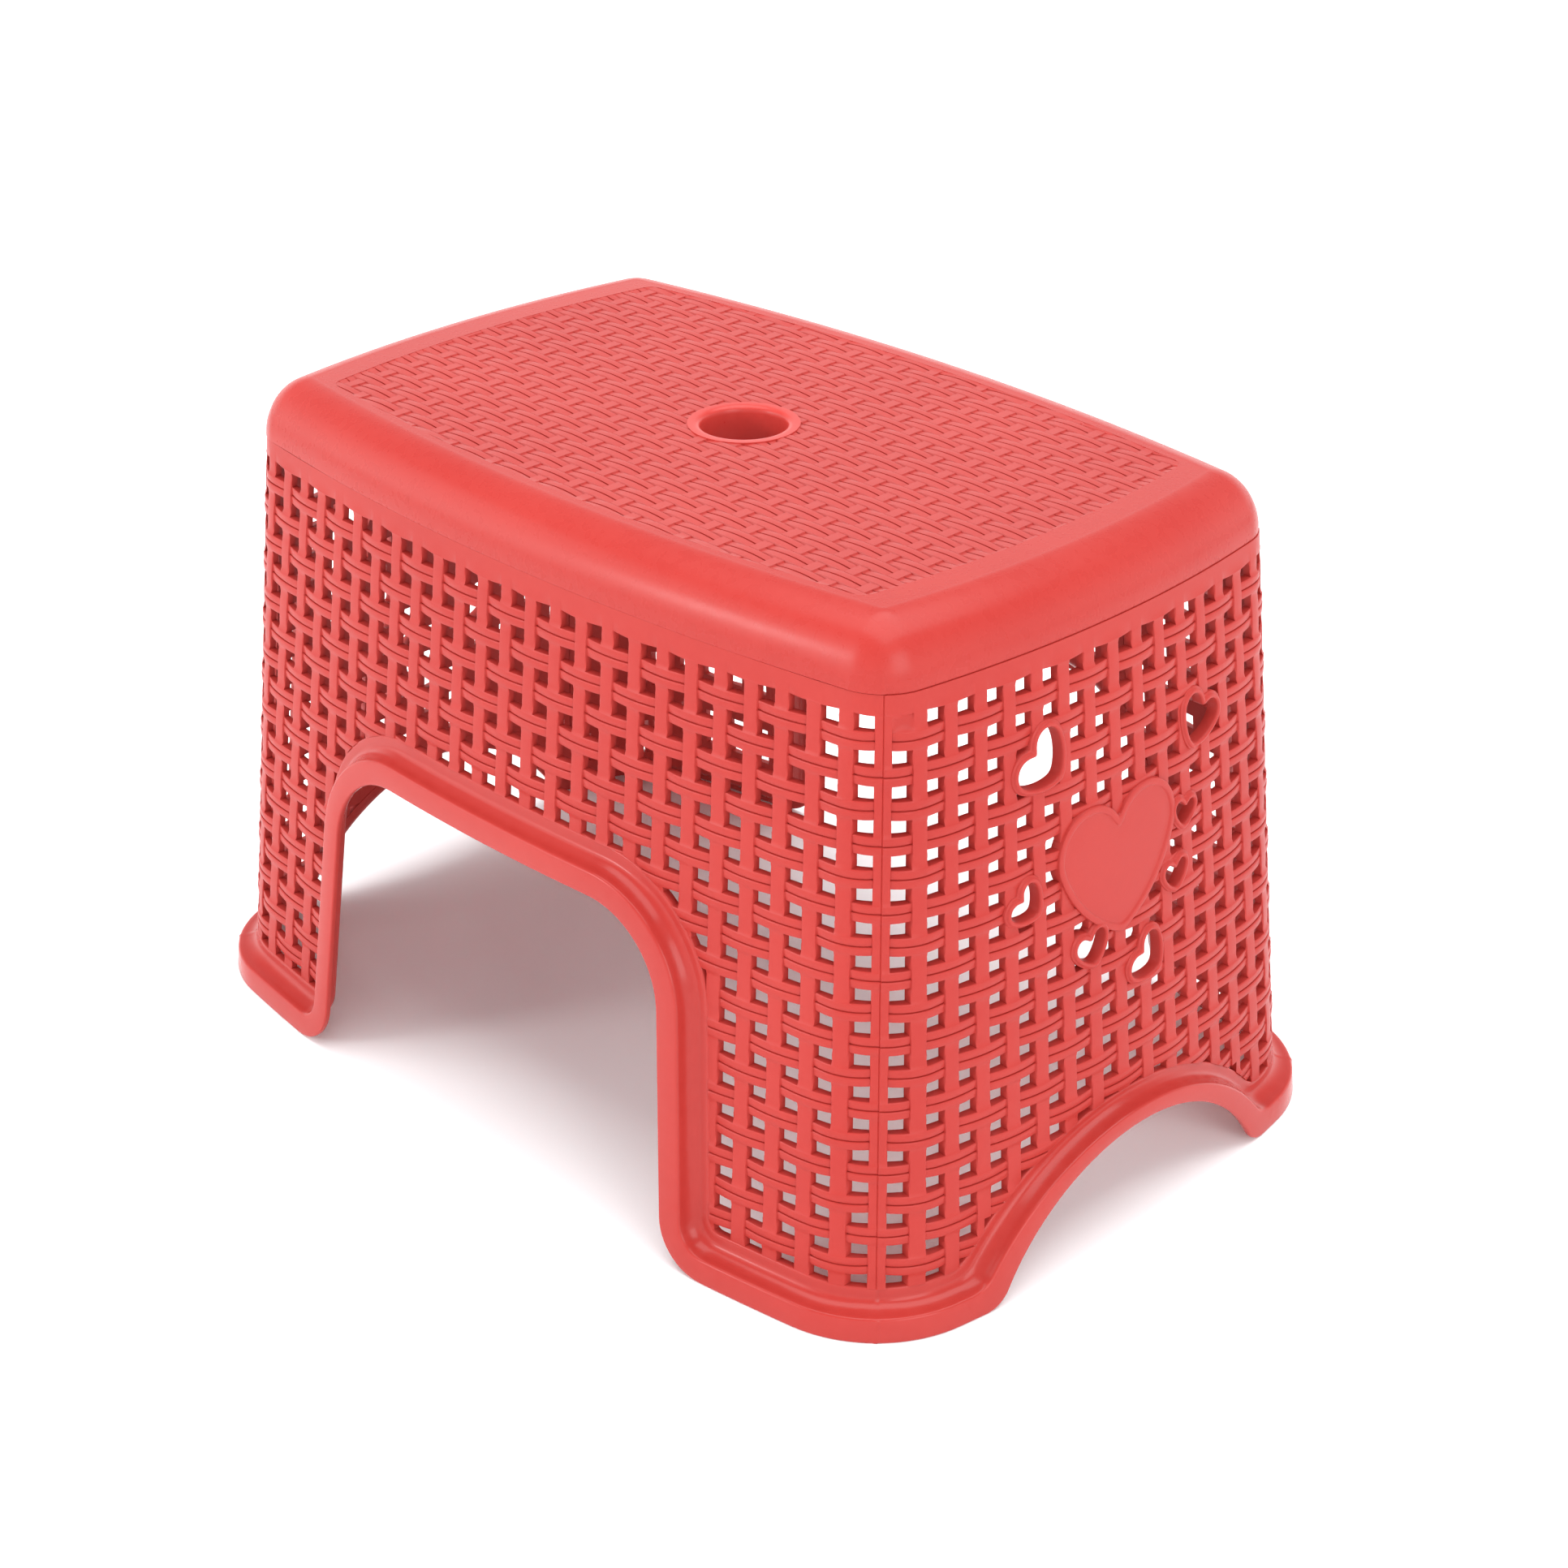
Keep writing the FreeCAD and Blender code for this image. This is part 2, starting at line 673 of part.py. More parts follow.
def seat():
    """Flat seat: plain border ring, textured panel and the collar of the finger hole."""
    seat_offset = wall_offset(SHOULDER_Z) - size("shoulder_width")
    panel_offset = seat_offset - size("border_width")
    low = HEIGHT - WALL
    outer = Part.Face(outline_wire(seat_offset, low))
    inner = Part.Face(outline_wire(panel_offset, low, size("panel_corner_radius")))
    rise = Vector(0, 0, WALL)
    feature("seat_border", outer.extrude(rise).cut(inner.extrude(rise)))
    hole = Part.makeCylinder(size("finger_hole_diameter") / 2 + size("collar_ring_width"),
                             WALL, Vector(0, 0, low))
    feature("seat_panel", inner.extrude(rise).cut(hole))


def finger_hole_collar():
    """Plain ring round the finger hole with a short tube under it."""
    body = doc.addObject("PartDesign::Body", "finger_hole_collar")
    body.Label = "finger_hole_collar"
    sketch = body.newObject("Sketcher::SketchObject", "collar_section")
    sketch.AttachmentSupport = [(origin_plane(body, "XZ_Plane"), "")]
    sketch.MapMode = "FlatFace"
    bore = size("finger_hole_diameter") / 2
    ring = bore + size("collar_ring_width")
    tube = bore + size("collar_wall")
    bottom = HEIGHT - size("collar_depth")
    under = HEIGHT - WALL
    points = [(bore, bottom), (tube, bottom), (tube, under), (ring, under), (ring, HEIGHT),
              (bore, HEIGHT)]
    for index, start in enumerate(points):
        end = points[(index + 1) % len(points)]
        sketch.addGeometry(Part.LineSegment(Vector(start[0], start[1], 0), Vector(end[0], end[1], 0)),
                           False)
    for index in range(len(points)):
        sketch.addConstraint(Sketcher.Constraint("Coincident", index, 2, (index + 1) % len(points), 1))
    for index in (0, 2, 4):
        sketch.addConstraint(Sketcher.Constraint("Horizontal", index))
    for index in (1, 3, 5):
        sketch.addConstraint(Sketcher.Constraint("Vertical", index))
    bindings = [
        ("DistanceX", 0, 1, "bore", "Sizes.finger_hole_diameter / 2"),
        ("DistanceX", 1, 1, "tube", "Sizes.finger_hole_diameter / 2 + Sizes.collar_wall"),
        ("DistanceX", 3, 2, "ring", "Sizes.finger_hole_diameter / 2 + Sizes.collar_ring_width"),
        ("DistanceY", 0, 1, "bottom", "Sizes.height - Sizes.collar_depth"),
        ("DistanceY", 2, 1, "under", "Sizes.height - Sizes.wall_thickness"),
        ("DistanceY", 4, 1, "top", "Sizes.height"),
    ]
    for kind, line, end, name, expression in bindings:
        value = sketch.getPoint(line, end)
        amount = value.x if kind == "DistanceX" else value.y
        number = sketch.addConstraint(Sketcher.Constraint(kind, -1, 1, line, end, amount))
        sketch.renameConstraint(number, name)
        sketch.setExpression("Constraints." + name, expression)
    turn = body.newObject("PartDesign::Revolution", "collar_turned")
    turn.Profile = sketch
    turn.ReferenceAxis = (sketch, ["V_Axis"])
    turn.Angle = 360
    nodes.append(body)


def rib_box(name, length, width, x, y):
    """One upright rib under the seat, bound to the sheet by its expressions."""
    box = doc.addObject("Part::Box", name)
    bound(box, Length=length, Width=width, Height="Sizes.rib_depth")
    box.setExpression(".Placement.Base.x", "%s - (%s) / 2" % (x, length))
    box.setExpression(".Placement.Base.y", "%s - (%s) / 2" % (y, width))
    box.setExpression(".Placement.Base.z",
                      "Sizes.height - Sizes.wall_thickness - Sizes.rib_depth")
    return box


def ribs():
    """Stiffening ribs under the seat: two long ones, and cross ribs between and beside them."""
    sunk = ("Sizes.shoulder_width + Sizes.rib_end_gap + (Sizes.height - Sizes.shoulder_height)"
            " * tan(Sizes.draft_angle * 1 deg)")
    long_run = "(Sizes.wall_length - 2 * (%s))" % sunk
    half_wide = "(Sizes.wall_width / 2 - (%s))" % sunk
    long_ribs = []
    for name, side in (("long_rib_front", "-1"), ("long_rib_back", "1")):
        long_ribs.append(rib_box(name, long_run, "Sizes.rib_thickness", "0",
                                 side + " * Sizes.long_rib_offset"))
    group_of("long_ribs", long_ribs)

    half_seat = HALF_LENGTH - (size("shoulder_width") + size("rib_end_gap") + DRAFT * SHOULDER_Z)
    each_side = int(half_seat / size("rib_spacing") - 0.5)
    places = [side * (step + 0.5) for step in range(each_side + 1) for side in (-1, 1)]
    inner_run = "(2 * Sizes.long_rib_offset - Sizes.rib_thickness)"
    outer_run = "(%s - Sizes.long_rib_offset - Sizes.rib_thickness / 2)" % half_wide
    outer_middle = "(Sizes.long_rib_offset + Sizes.rib_thickness / 2 + %s / 2)" % outer_run
    cross_ribs = []
    for number, place in enumerate(places):
        across = "%s * Sizes.rib_spacing" % place
        for part_name, run, middle in (("inner", inner_run, "0"), ("front", outer_run, "-" + outer_middle),
                                       ("back", outer_run, outer_middle)):
            cross_ribs.append(rib_box("cross_rib_%s_%d" % (part_name, number), "Sizes.rib_thickness",
                                      run, across, middle))
    group_of("cross_ribs", cross_ribs)


def group_of(name, items):
    """Several separate solids kept as one sub-part."""
    group = doc.addObject("Part::Compound", name)
    group.Label = name
    group.Links = items
    nodes.append(group)


def check_and_write():
    """Stop on any failed object or shape, then write each sub-part to its own file."""
    doc.recompute()
    for item in doc.Objects:
        if "Invalid" in item.State or "Error" in item.State:
            raise RuntimeError("%s did not rebuild: %s" % (item.Name, item.State))
    for item in nodes:
        if item.Shape.isNull() or not item.Shape.isValid():
            raise RuntimeError("%s has no sound shape" % item.Label)
    os.makedirs("parts", exist_ok=True)
    for item in nodes:
        item.Shape.exportStep(os.path.join("parts", item.Label + ".step"))
        print("%-24s %3d solids %10.1f mm3" % (item.Label, len(item.Shape.Solids), item.Shape.Volume))


seat()
finger_hole_collar()
ribs()
shoulder()
walls()
legs()
rims()
hearts()
check_and_write()
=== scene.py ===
import math

import bmesh
import bpy
import numpy as np
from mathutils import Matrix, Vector


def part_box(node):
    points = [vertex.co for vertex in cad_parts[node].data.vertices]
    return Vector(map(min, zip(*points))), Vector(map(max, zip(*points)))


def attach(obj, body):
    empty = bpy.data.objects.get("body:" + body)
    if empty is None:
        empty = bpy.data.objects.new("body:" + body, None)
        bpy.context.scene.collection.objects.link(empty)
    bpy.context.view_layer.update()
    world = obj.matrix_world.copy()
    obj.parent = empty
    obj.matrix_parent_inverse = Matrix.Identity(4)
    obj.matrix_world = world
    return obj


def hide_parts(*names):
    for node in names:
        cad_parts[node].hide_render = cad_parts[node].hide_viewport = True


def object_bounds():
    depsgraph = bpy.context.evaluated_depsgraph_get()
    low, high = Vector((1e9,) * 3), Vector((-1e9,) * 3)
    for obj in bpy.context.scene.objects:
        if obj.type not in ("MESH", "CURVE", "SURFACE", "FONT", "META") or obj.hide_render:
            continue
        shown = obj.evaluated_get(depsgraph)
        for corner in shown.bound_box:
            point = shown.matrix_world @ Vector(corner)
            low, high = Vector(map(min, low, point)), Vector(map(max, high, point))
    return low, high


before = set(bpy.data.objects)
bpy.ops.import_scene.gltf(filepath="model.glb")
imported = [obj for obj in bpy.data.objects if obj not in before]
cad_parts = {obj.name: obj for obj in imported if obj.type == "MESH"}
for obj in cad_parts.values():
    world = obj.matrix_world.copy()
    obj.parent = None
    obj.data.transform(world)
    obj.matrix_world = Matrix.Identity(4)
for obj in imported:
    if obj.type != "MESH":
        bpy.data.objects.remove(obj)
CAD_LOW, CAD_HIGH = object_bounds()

MM = 0.001

# ------------------------------------------------------------- the wall's plan outline, millimetres
HEIGHT = CAD_HIGH[2] / MM
HALF_LENGTH, HALF_WIDTH = 181.45, 125.2
LONG_R, END_R, CORNER_R = 887.0, 481.0, 39.0
DRAFT = math.tan(math.radians(5.42))
WALL = 2.6
SHOULDER_TALL, SHOULDER_W = 20.0, 17.8
SHOULDER_Z = HEIGHT - SHOULDER_TALL
LONG_C = np.array([0.0, LONG_R - HALF_WIDTH])
END_C = np.array([HALF_LENGTH - END_R, 0.0])


def corner_centre(long_r, end_r, corner_r):
    """Centre of the corner arc in the quadrant +X -Y, tangent inside both side arcs."""
    from_long, from_end = long_r - corner_r, end_r - corner_r
    base = END_C - LONG_C
    size = math.hypot(*base)
    along = (from_long ** 2 - from_end ** 2 + size ** 2) / (2 * size)
    across = math.sqrt(from_long ** 2 - along ** 2)
    unit = base / size
    return LONG_C + unit * along + np.array([-unit[1], unit[0]]) * across


CORNER_C = corner_centre(LONG_R, END_R, CORNER_R)
LONG_TURN = math.asin(CORNER_C[0] / (LONG_R - CORNER_R))
END_TURN = math.asin(-CORNER_C[1] / (END_R - CORNER_R))

# basket weave: columns counted round the belt from the front left corner
LONG_COLS, END_COLS = 26, 16
HALF_BELT = LONG_COLS + END_COLS
ROW, COLUMN = 11.0, 11.4
TOP_ROW_Z = 204.4    # middle of the first row of windows
LAST_ROW = 17
LONG_SAG, END_SAG = (0.14, 0.083), (0.08, 0.2)   # rows, at the first row and more at the last
SAG_START = 0.83     # rows above the first windows where the sag begins
WINDOW_SLANT, WINDOW_TURN = 0.75, 0.72   # how far windows follow X or Y, and their steepest turn
STRIP = 0.228        # half width of an upright strip, in columns
STRAND = 0.272       # half height of a double strand, in rows
FLOAT_TOP, FLOAT_END, RECESS = 0.66, -0.45, -1.4
RELIEF = 0.75        # share of the full weave's height that the moulding shows
STRIP_PROUD, STRIP_DIVE, STRIP_ROUND = 0.12, 0.8, 0.22   # strip: middle, ends and sides
BAND_END, BAND_STEP = -0.28, 0.05        # rows, where the plain band under the shoulder ends
END_PROUD, FLASH = 0.36, 0.16            # end walls and corner flash over the wall's face
FINE = 0.022         # finest step of the grid, in columns


def offset_at(z):
    return -z * DRAFT


def side_point(share, z, radius, turn_max):
    """Whether share -1 to 1 of a side lies on a corner arc at height z, and the outline's turn there."""
    off = offset_at(z)
    half = (radius + off) * turn_max + (CORNER_R + off) * (math.pi / 4 - turn_max)
    run = share * half
    flat = run / (radius + off)
    over = np.abs(run) - (radius + off) * turn_max
    turn = np.where(over > 0, np.sign(run) * (turn_max + over / (CORNER_R + off)), flat)
    return over > 0, turn


def belt(c, z, n):
    """Points of the belt at column c, height z, and n out from the wall's face."""
    c, z, n = np.broadcast_arrays(np.asarray(c, float), np.asarray(z, float), np.asarray(n, float))
    half = np.floor(c / HALF_BELT + 1e-9)
    local = c - half * HALF_BELT
    front = local <= LONG_COLS
    off = offset_at(z)
    share = local / LONG_COLS * 2 - 1
    round_it, turn = side_point(share, z, LONG_R, LONG_TURN)
    sx, sy = np.sin(turn), -np.cos(turn)
    fx = np.where(round_it, np.sign(share) * CORNER_C[0] + sx * (CORNER_R + off + n),
                  LONG_C[0] + sx * (LONG_R + off + n))
    fy = np.where(round_it, CORNER_C[1] + sy * (CORNER_R + off + n), LONG_C[1] + sy * (LONG_R + off + n))
    share = (local - LONG_COLS) / END_COLS * 2 - 1
    round_it, turn = side_point(share, z, END_R, END_TURN)
    sx, sy = np.cos(turn), np.sin(turn)
    ex = np.where(round_it, CORNER_C[0] + sx * (CORNER_R + off + n), END_C[0] + sx * (END_R + off + n))
    ey = np.where(round_it, -np.sign(share) * CORNER_C[1] + sy * (CORNER_R + off + n),
                  END_C[1] + sy * (END_R + off + n))
    x, y = np.where(front, fx, ex), np.where(front, fy, ey)
    flip = np.where(half % 2 == 1, -1.0, 1.0)
    return np.stack([x * flip, y * flip, z], -1)


def skew(c, z):
    """How far, in columns, a window's inner edge lies to the side, as windows are drawn along X or Y."""
    local = np.asarray(c, float) % HALF_BELT
    front = local < LONG_COLS
    share = np.where(front, local / LONG_COLS * 2 - 1, (local - LONG_COLS) / END_COLS * 2 - 1)
    turn_long = side_point(share, z, LONG_R, LONG_TURN)[1]
    turn_end = side_point(share, z, END_R, END_TURN)[1]
    turn = np.clip(np.where(front, turn_long, turn_end), -WINDOW_TURN, WINDOW_TURN)
    near = np.minimum(np.minimum(local, HALF_BELT - local), np.abs(local - LONG_COLS))
    return np.clip(near / STRIP, 0, 1) * WINDOW_SLANT * WALL * np.tan(turn) / COLUMN


def sag(c, t):
    """How far, in rows, a strand hangs lower at column c than at the corners."""
    local = np.asarray(c, float) % HALF_BELT
    front = local <= LONG_COLS
    u = np.where(front, local / LONG_COLS, (local - LONG_COLS) / END_COLS)
    depth = np.where(front, LONG_SAG[0] + LONG_SAG[1] * t / LAST_ROW, END_SAG[0] + END_SAG[1] * t / LAST_ROW)
    return depth * 4 * u * (1 - u) * np.clip((t + SAG_START) / SAG_START, 0, 1)


# ------------------------------------------------------------- mesh helpers
def new_mesh(name, points, faces, smooth=38.0):
    """An object from points in millimetres; edges sharper than smooth degrees stay sharp."""
    mesh = bpy.data.meshes.new(name)
    mesh.from_pydata((np.asarray(points, float) * MM).tolist(), [], faces)
    mesh.validate()
    obj = bpy.data.objects.new(name, mesh)
    bpy.context.scene.collection.objects.link(obj)
    shade(obj, smooth)
    return obj


def shade(obj, angle):
    obj.data.shade_smooth()
    obj.data.set_sharp_from_angle(angle=math.radians(angle))


def cut(obj, cutters, smooth=38.0):
    """Takes the cutters away from obj for good."""
    for cutter in cutters:
        step = obj.modifiers.new("cut", "BOOLEAN")
        step.operation = "DIFFERENCE"
        step.solver = "MANIFOLD"
        step.object = cutter
    graph = bpy.context.evaluated_depsgraph_get()
    mesh = bpy.data.meshes.new_from_object(obj.evaluated_get(graph))
    obj.modifiers.clear()
    obj.data = mesh
    shade(obj, smooth)


def remove(objects):
    for obj in objects:
        bpy.data.objects.remove(obj)


def prism(name, outline, axis, low, high):
    """A closed outline of (across, up) points drawn from low to high along X or Y."""
    def at(p, depth):
        return (depth, p[0], p[1]) if axis == "X" else (p[0], depth, p[1])
    count = len(outline)
    points = [at(p, low) for p in outline] + [at(p, high) for p in outline]
    faces = [list(range(count)), list(range(2 * count - 1, count - 1, -1))]
    faces += [[i, i + count, (i + 1) % count + count, (i + 1) % count] for i in range(count)]
    obj = new_mesh(name, points, faces)
    face_out(obj)
    return obj


def face_out(obj):
    """Turns every face of a closed mesh outwards."""
    bm = bmesh.new()
    bm.from_mesh(obj.data)
    bmesh.ops.recalc_face_normals(bm, faces=bm.faces)
    bm.to_mesh(obj.data)
    bm.free()


def piece(obj, material, slot, *nodes):
    """Hands a finished piece to the frame in place of its CAD nodes."""
    obj.data.materials.clear()
    obj.data.materials.append(material)
    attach(obj, "root")
    if nodes:
        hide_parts(*nodes)
    return obj


# ------------------------------------------------------------- woven relief
GROOVE = 0.24        # half width of the groove between the two ribs of a strand
GROOVE_LEVEL = -1.05
BEVEL = 0.34         # width of the bright upper edge of a rib, and its drop
RIB_TILT = 0.34      # drop of a rib's face from its upper to its lower edge
LIP, LIP_DROP = 0.2, 0.16                # a rib's lower edge


def strand_section(rise):
    """Height of a double flat strand across its width, rise in mm from its middle."""
    half = STRAND * ROW
    rib = half - GROOVE
    down = np.where(rise < 0, rise + half, rise - GROOVE)
    face = -RIB_TILT * np.clip(down / rib, 0, 1) - BEVEL * np.clip(1 - down / BEVEL, 0, 1)
    face = face - LIP_DROP * np.clip((down - rib + LIP) / LIP, 0, 1)
    return np.where(np.abs(rise) < GROOVE - 1e-6, GROOVE_LEVEL, face)


def relief(c, t):
    """Height of the weave over the wall's face at column c and row t."""
    strip = np.round(c)
    aside = c - strip
    strand = np.floor(t)
    up = (t - strand - 0.5) * ROW
    in_strand = np.abs(up) <= STRAND * ROW + 1e-6
    over = (strip + strand) % 2 == 1
    on_strip = np.abs(aside) < STRIP - 1e-6
    centre = np.where(over, strip, strip + np.where(aside >= 0, 1, -1))
    xi = (c - centre) / (1 - STRIP)
    rise = FLOAT_END + (FLOAT_TOP - FLOAT_END) * np.clip(1 - xi ** 2, 0, 1) + strand_section(up)
    edge = np.clip((np.abs(aside) - (STRIP - 0.05)) / 0.05, 0, 1)
    along = np.abs(t - np.where(over, np.where(up > 0, strand + 1.5, strand - 0.5), strand + 0.5))
    strip_top = STRIP_PROUD - STRIP_DIVE * np.clip(along, 0, 1) ** 2 - STRIP_ROUND * edge ** 2
    level = np.where(on_strip, strip_top, RECESS)
    level = np.where(~on_strip & (np.abs(np.abs(aside) - STRIP) < 1e-5), strip_top - 0.05, level)
    level = np.where(in_strand & over & on_strip, rise, level)
    level = np.where(in_strand & ~on_strip, rise, level)
    # the plain band below the shoulder swallows the upper half of the first strand
    return level * np.clip((t - BAND_END) / BAND_STEP, 0, 1)


def column_lines(first, last):
    """Grid lines across the columns first to last, both at strip middles."""
    lines = []
    corners = {0, LONG_COLS, HALF_BELT, HALF_BELT + LONG_COLS}
    for strip in range(first, last + 1):
        near = [-STRIP, -STRIP + FINE, -STRIP + 0.06, 0, STRIP - 0.06, STRIP - FINE, STRIP]
        if strip in corners:
            near = near[:3] + [-0.05, -FINE, 0, FINE, 0.05] + near[4:]
        lines += [strip + d for d in near]
        if strip < last:
            gap = 1 - 2 * STRIP
            lines += [strip + STRIP + gap * s for s in (0.2, 0.4, 0.6, 0.8)]
    return np.array([v for v in lines if first - 1e-9 <= v <= last + 1e-9])


def row_lines(low_z):
    """Grid lines down the wall from the shoulder to low_z, in rows."""
    lines = [(TOP_ROW_Z - SHOULDER_Z) / ROW, -0.8, -0.6, BAND_END - 0.01, BAND_END + 0.025]
    half = STRAND * ROW
    rib = [0, BEVEL - 0.04, BEVEL + 0.06, (half - GROOVE) / 2, half - GROOVE - 0.2, half - GROOVE]
    across = [-half + v for v in rib] + [-GROOVE + 0.08, GROOVE - 0.08] + [GROOVE + v for v in rib]
    row = -1
    while TOP_ROW_Z - (row + 0.2) * ROW > low_z:
        strand = [row + 0.5 + v / ROW for v in across]
        lines += [v for v in strand if v > lines[-1] + 0.005]
        lines += [row + 1 - 0.09, row + 1 + 0.11]
        row += 1
    lines = [v for v in lines if TOP_ROW_Z - v * ROW > low_z]
    last_strand = [v for v in lines if abs((v % 1) - 0.5) <= STRAND]
    return np.array([v for v in lines if v <= last_strand[-1]])


def weave_panel(name, first, last, low_z, filled):
    """A closed woven panel from strip first to strip last; filled lists the windows that are blind."""
    across, down = column_lines(first, last), row_lines(low_z)
    cc, tt = np.meshgrid(across, down, indexing="ij")
    local = cc % HALF_BELT
    corner = np.minimum(np.minimum(local, HALF_BELT - local), np.abs(local - LONG_COLS))
    proud = END_PROUD * np.clip((local - LONG_COLS) / FINE, 0, 1) * np.clip((HALF_BELT - local) / FINE, 0, 1)
    flash = np.where((corner > FINE / 2) & (corner < 1.5 * FINE), FLASH, 0)
    height = RELIEF * relief(cc, tt) + proud + flash
    z = TOP_ROW_Z - ROW * (tt + sag(cc, tt))
    z[:, 0] = SHOULDER_Z
    outer = belt(cc, z, height)
    inner_c = np.clip(cc + skew(cc, z), first, last)
    inner = belt(inner_c, z, -WALL)
    nc, nt = cc.shape
    ids = np.arange(nc * nt).reshape(nc, nt)
    shift = nc * nt
    mid_c, mid_t = (across[:-1] + across[1:]) / 2, (down[:-1] + down[1:]) / 2
    c_gap = np.abs(mid_c - np.round(mid_c)) > STRIP
    t_gap = (np.abs(mid_t % 1 - 0.5) > STRAND) & (mid_t > -0.4)
    blind = np.array([[(int(math.floor(a)), int(round(b))) in filled for b in mid_t] for a in mid_c])
    hole = c_gap[:, None] & t_gap[None, :] & ~blind
    solid = ~hole
    faces = []
    a, b = np.nonzero(solid)
    faces += np.stack([ids[a, b], ids[a, b + 1], ids[a + 1, b + 1], ids[a + 1, b]], -1).tolist()
    # sides of the windows and the four edges of the panel
    pad = np.zeros((nc + 1, nt + 1), bool)
    pad[1:-1, 1:-1] = solid
    for a in range(nc):
        for b in range(nt - 1):
            left, right = pad[a, b + 1], pad[a + 1, b + 1]
            if left != right:
                p, q = ids[a, b], ids[a, b + 1]
                quad = [p, p + shift, q + shift, q]
                faces.append([int(v) for v in (quad if right else quad[::-1])])
    for a in range(nc - 1):
        for b in range(nt):
            above, below = pad[a + 1, b], pad[a + 1, b + 1]
            if above != below:
                p, q = ids[a, b], ids[a + 1, b]
                quad = [p, q, q + shift, p + shift]
                faces.append([int(v) for v in (quad if below else quad[::-1])])
    # plain inner face, one polygon for each crossing and each length between crossings
    c_cuts = [i for i, v in enumerate(across)
              if i in (0, nc - 1) or abs(abs(v - round(v)) - STRIP) < 1e-6]
    t_cuts = [i for i, v in enumerate(down)
              if i in (0, nt - 1) or (abs(abs(v % 1 - 0.5) - STRAND) < 1e-6 and v > -0.4)]
    for a0, a1 in zip(c_cuts, c_cuts[1:]):
        for b0, b1 in zip(t_cuts, t_cuts[1:]):
            if solid[a0, b0]:
                loop = [ids[a, b0] for a in range(a0, a1)] + [ids[a1, b] for b in range(b0, b1)]
                loop += [ids[a, b1] for a in range(a1, a0, -1)] + [ids[a0, b] for b in range(b1, b0, -1)]
                faces.append([int(v) + shift for v in loop])
    points = np.concatenate([outer.reshape(-1, 3), inner.reshape(-1, 3)])
    used = np.zeros(len(points), bool)
    for f in faces:
        used[f] = True
    index = np.cumsum(used) - 1
    faces = [[int(index[v]) for v in f] for f in faces]
    return new_mesh(name, points[used], faces)


# ------------------------------------------------------------- lower edge of the walls
RIM_TOP = 15.0       # the weave ends this far above the edge, in the rim's plain strip
LEAN = math.radians(4.8)
ARCH_TOP, ARCH_HALF, ARCH_TOP_R, ARCH_FOOT_R = 118.9, 89.6, 32.0, 19.0
LOW_TOP, LOW_HALF, LOW_FOOT_R = 40.2, 65.2, 11.0
CROWN_SHARE, SPAN_SHARE = 0.62, 1.35     # how the low arch grows as its edge moves up
CORNER_FLATS = 26    # steps from an arch's foot to the corner line
SEAM_RIDGE = 0.3     # flash on the rim at each corner line


def arc(centre, radius, start, stop, count):
    turn = np.linspace(start, stop, count)
    return np.stack([centre[0] + radius * np.cos(turn), centre[1] + radius * np.sin(turn)], -1)


def line(a, b, count):
    s = np.linspace(0, 1, count)[:, None]
    return np.asarray(a) * (1 - s) + np.asarray(b) * s


def long_edge(offset):
    """Right half of the front arch's edge, moved up by offset, from its top middle to the foot."""
    side = np.array([-math.sin(LEAN), math.cos(LEAN)])
    out = np.array([math.cos(LEAN), math.sin(LEAN)])
    up = np.array([0.0, 1.0])
    top, foot_r, top_r = ARCH_TOP + offset, ARCH_FOOT_R - offset, ARCH_TOP_R + offset
    edge = np.array([ARCH_HALF, 0.0]) + out * offset

    def on_side(distance, z):
        start = edge + out * distance
        return start + side * ((z - start[1]) / side[1])

    foot_c = on_side(foot_r, offset + foot_r)
    top_c = on_side(-top_r, top - top_r)
    parts = [
        line((0, top), top_c + up * top_r, 26)[:-1],
        arc(top_c, top_r, math.pi / 2, LEAN, 18)[:-1],
        line(top_c + out * top_r, foot_c - out * foot_r, 22)[:-1],
        arc(foot_c, foot_r, math.pi + LEAN, 1.5 * math.pi, 14),
    ]
    return np.concatenate(parts)


def end_edge(offset):
    """Half of the low arch's edge in the end wall, moved up by offset, from its crown to the foot."""
    crown, span = LOW_TOP + CROWN_SHARE * offset, LOW_HALF + SPAN_SHARE * offset
    radius = (span ** 2 + crown ** 2) / (2 * crown)
    centre = np.array([0.0, crown - radius])
    rise = offset + LOW_FOOT_R - centre[1]
    foot_c = np.array([math.sqrt((radius + LOW_FOOT_R) ** 2 - rise ** 2), offset + LOW_FOOT_R])
    towards = math.atan2(*(centre - foot_c)[::-1]) % (2 * math.pi)
    parts = [
        arc(centre, radius, math.pi / 2, towards - math.pi, 34)[:-1],
        arc(foot_c, LOW_FOOT_R, towards, 1.5 * math.pi, 12),
    ]
    return np.concatenate(parts)


def wall_x_or_y(across, z, n, end):
    """Distance of the wall's face from the middle plane at an elevation point of a side."""
    off = offset_at(z)
    radius, turn_max, centre = (END_R, END_TURN, END_C[0]) if end else (LONG_R, LONG_TURN, -LONG_C[1])
    corner_across, corner_out = (-CORNER_C[1], CORNER_C[0]) if end else (CORNER_C[0], -CORNER_C[1])
    big, small = radius + off + n, CORNER_R + off + n
    flat = centre + np.sqrt(np.maximum(big ** 2 - across ** 2, 0))
    round_ = corner_out + np.sqrt(np.maximum(small ** 2 - (np.abs(across) - corner_across) ** 2, 0))
    return np.where(np.abs(across) <= math.sin(turn_max) * big, flat, round_)


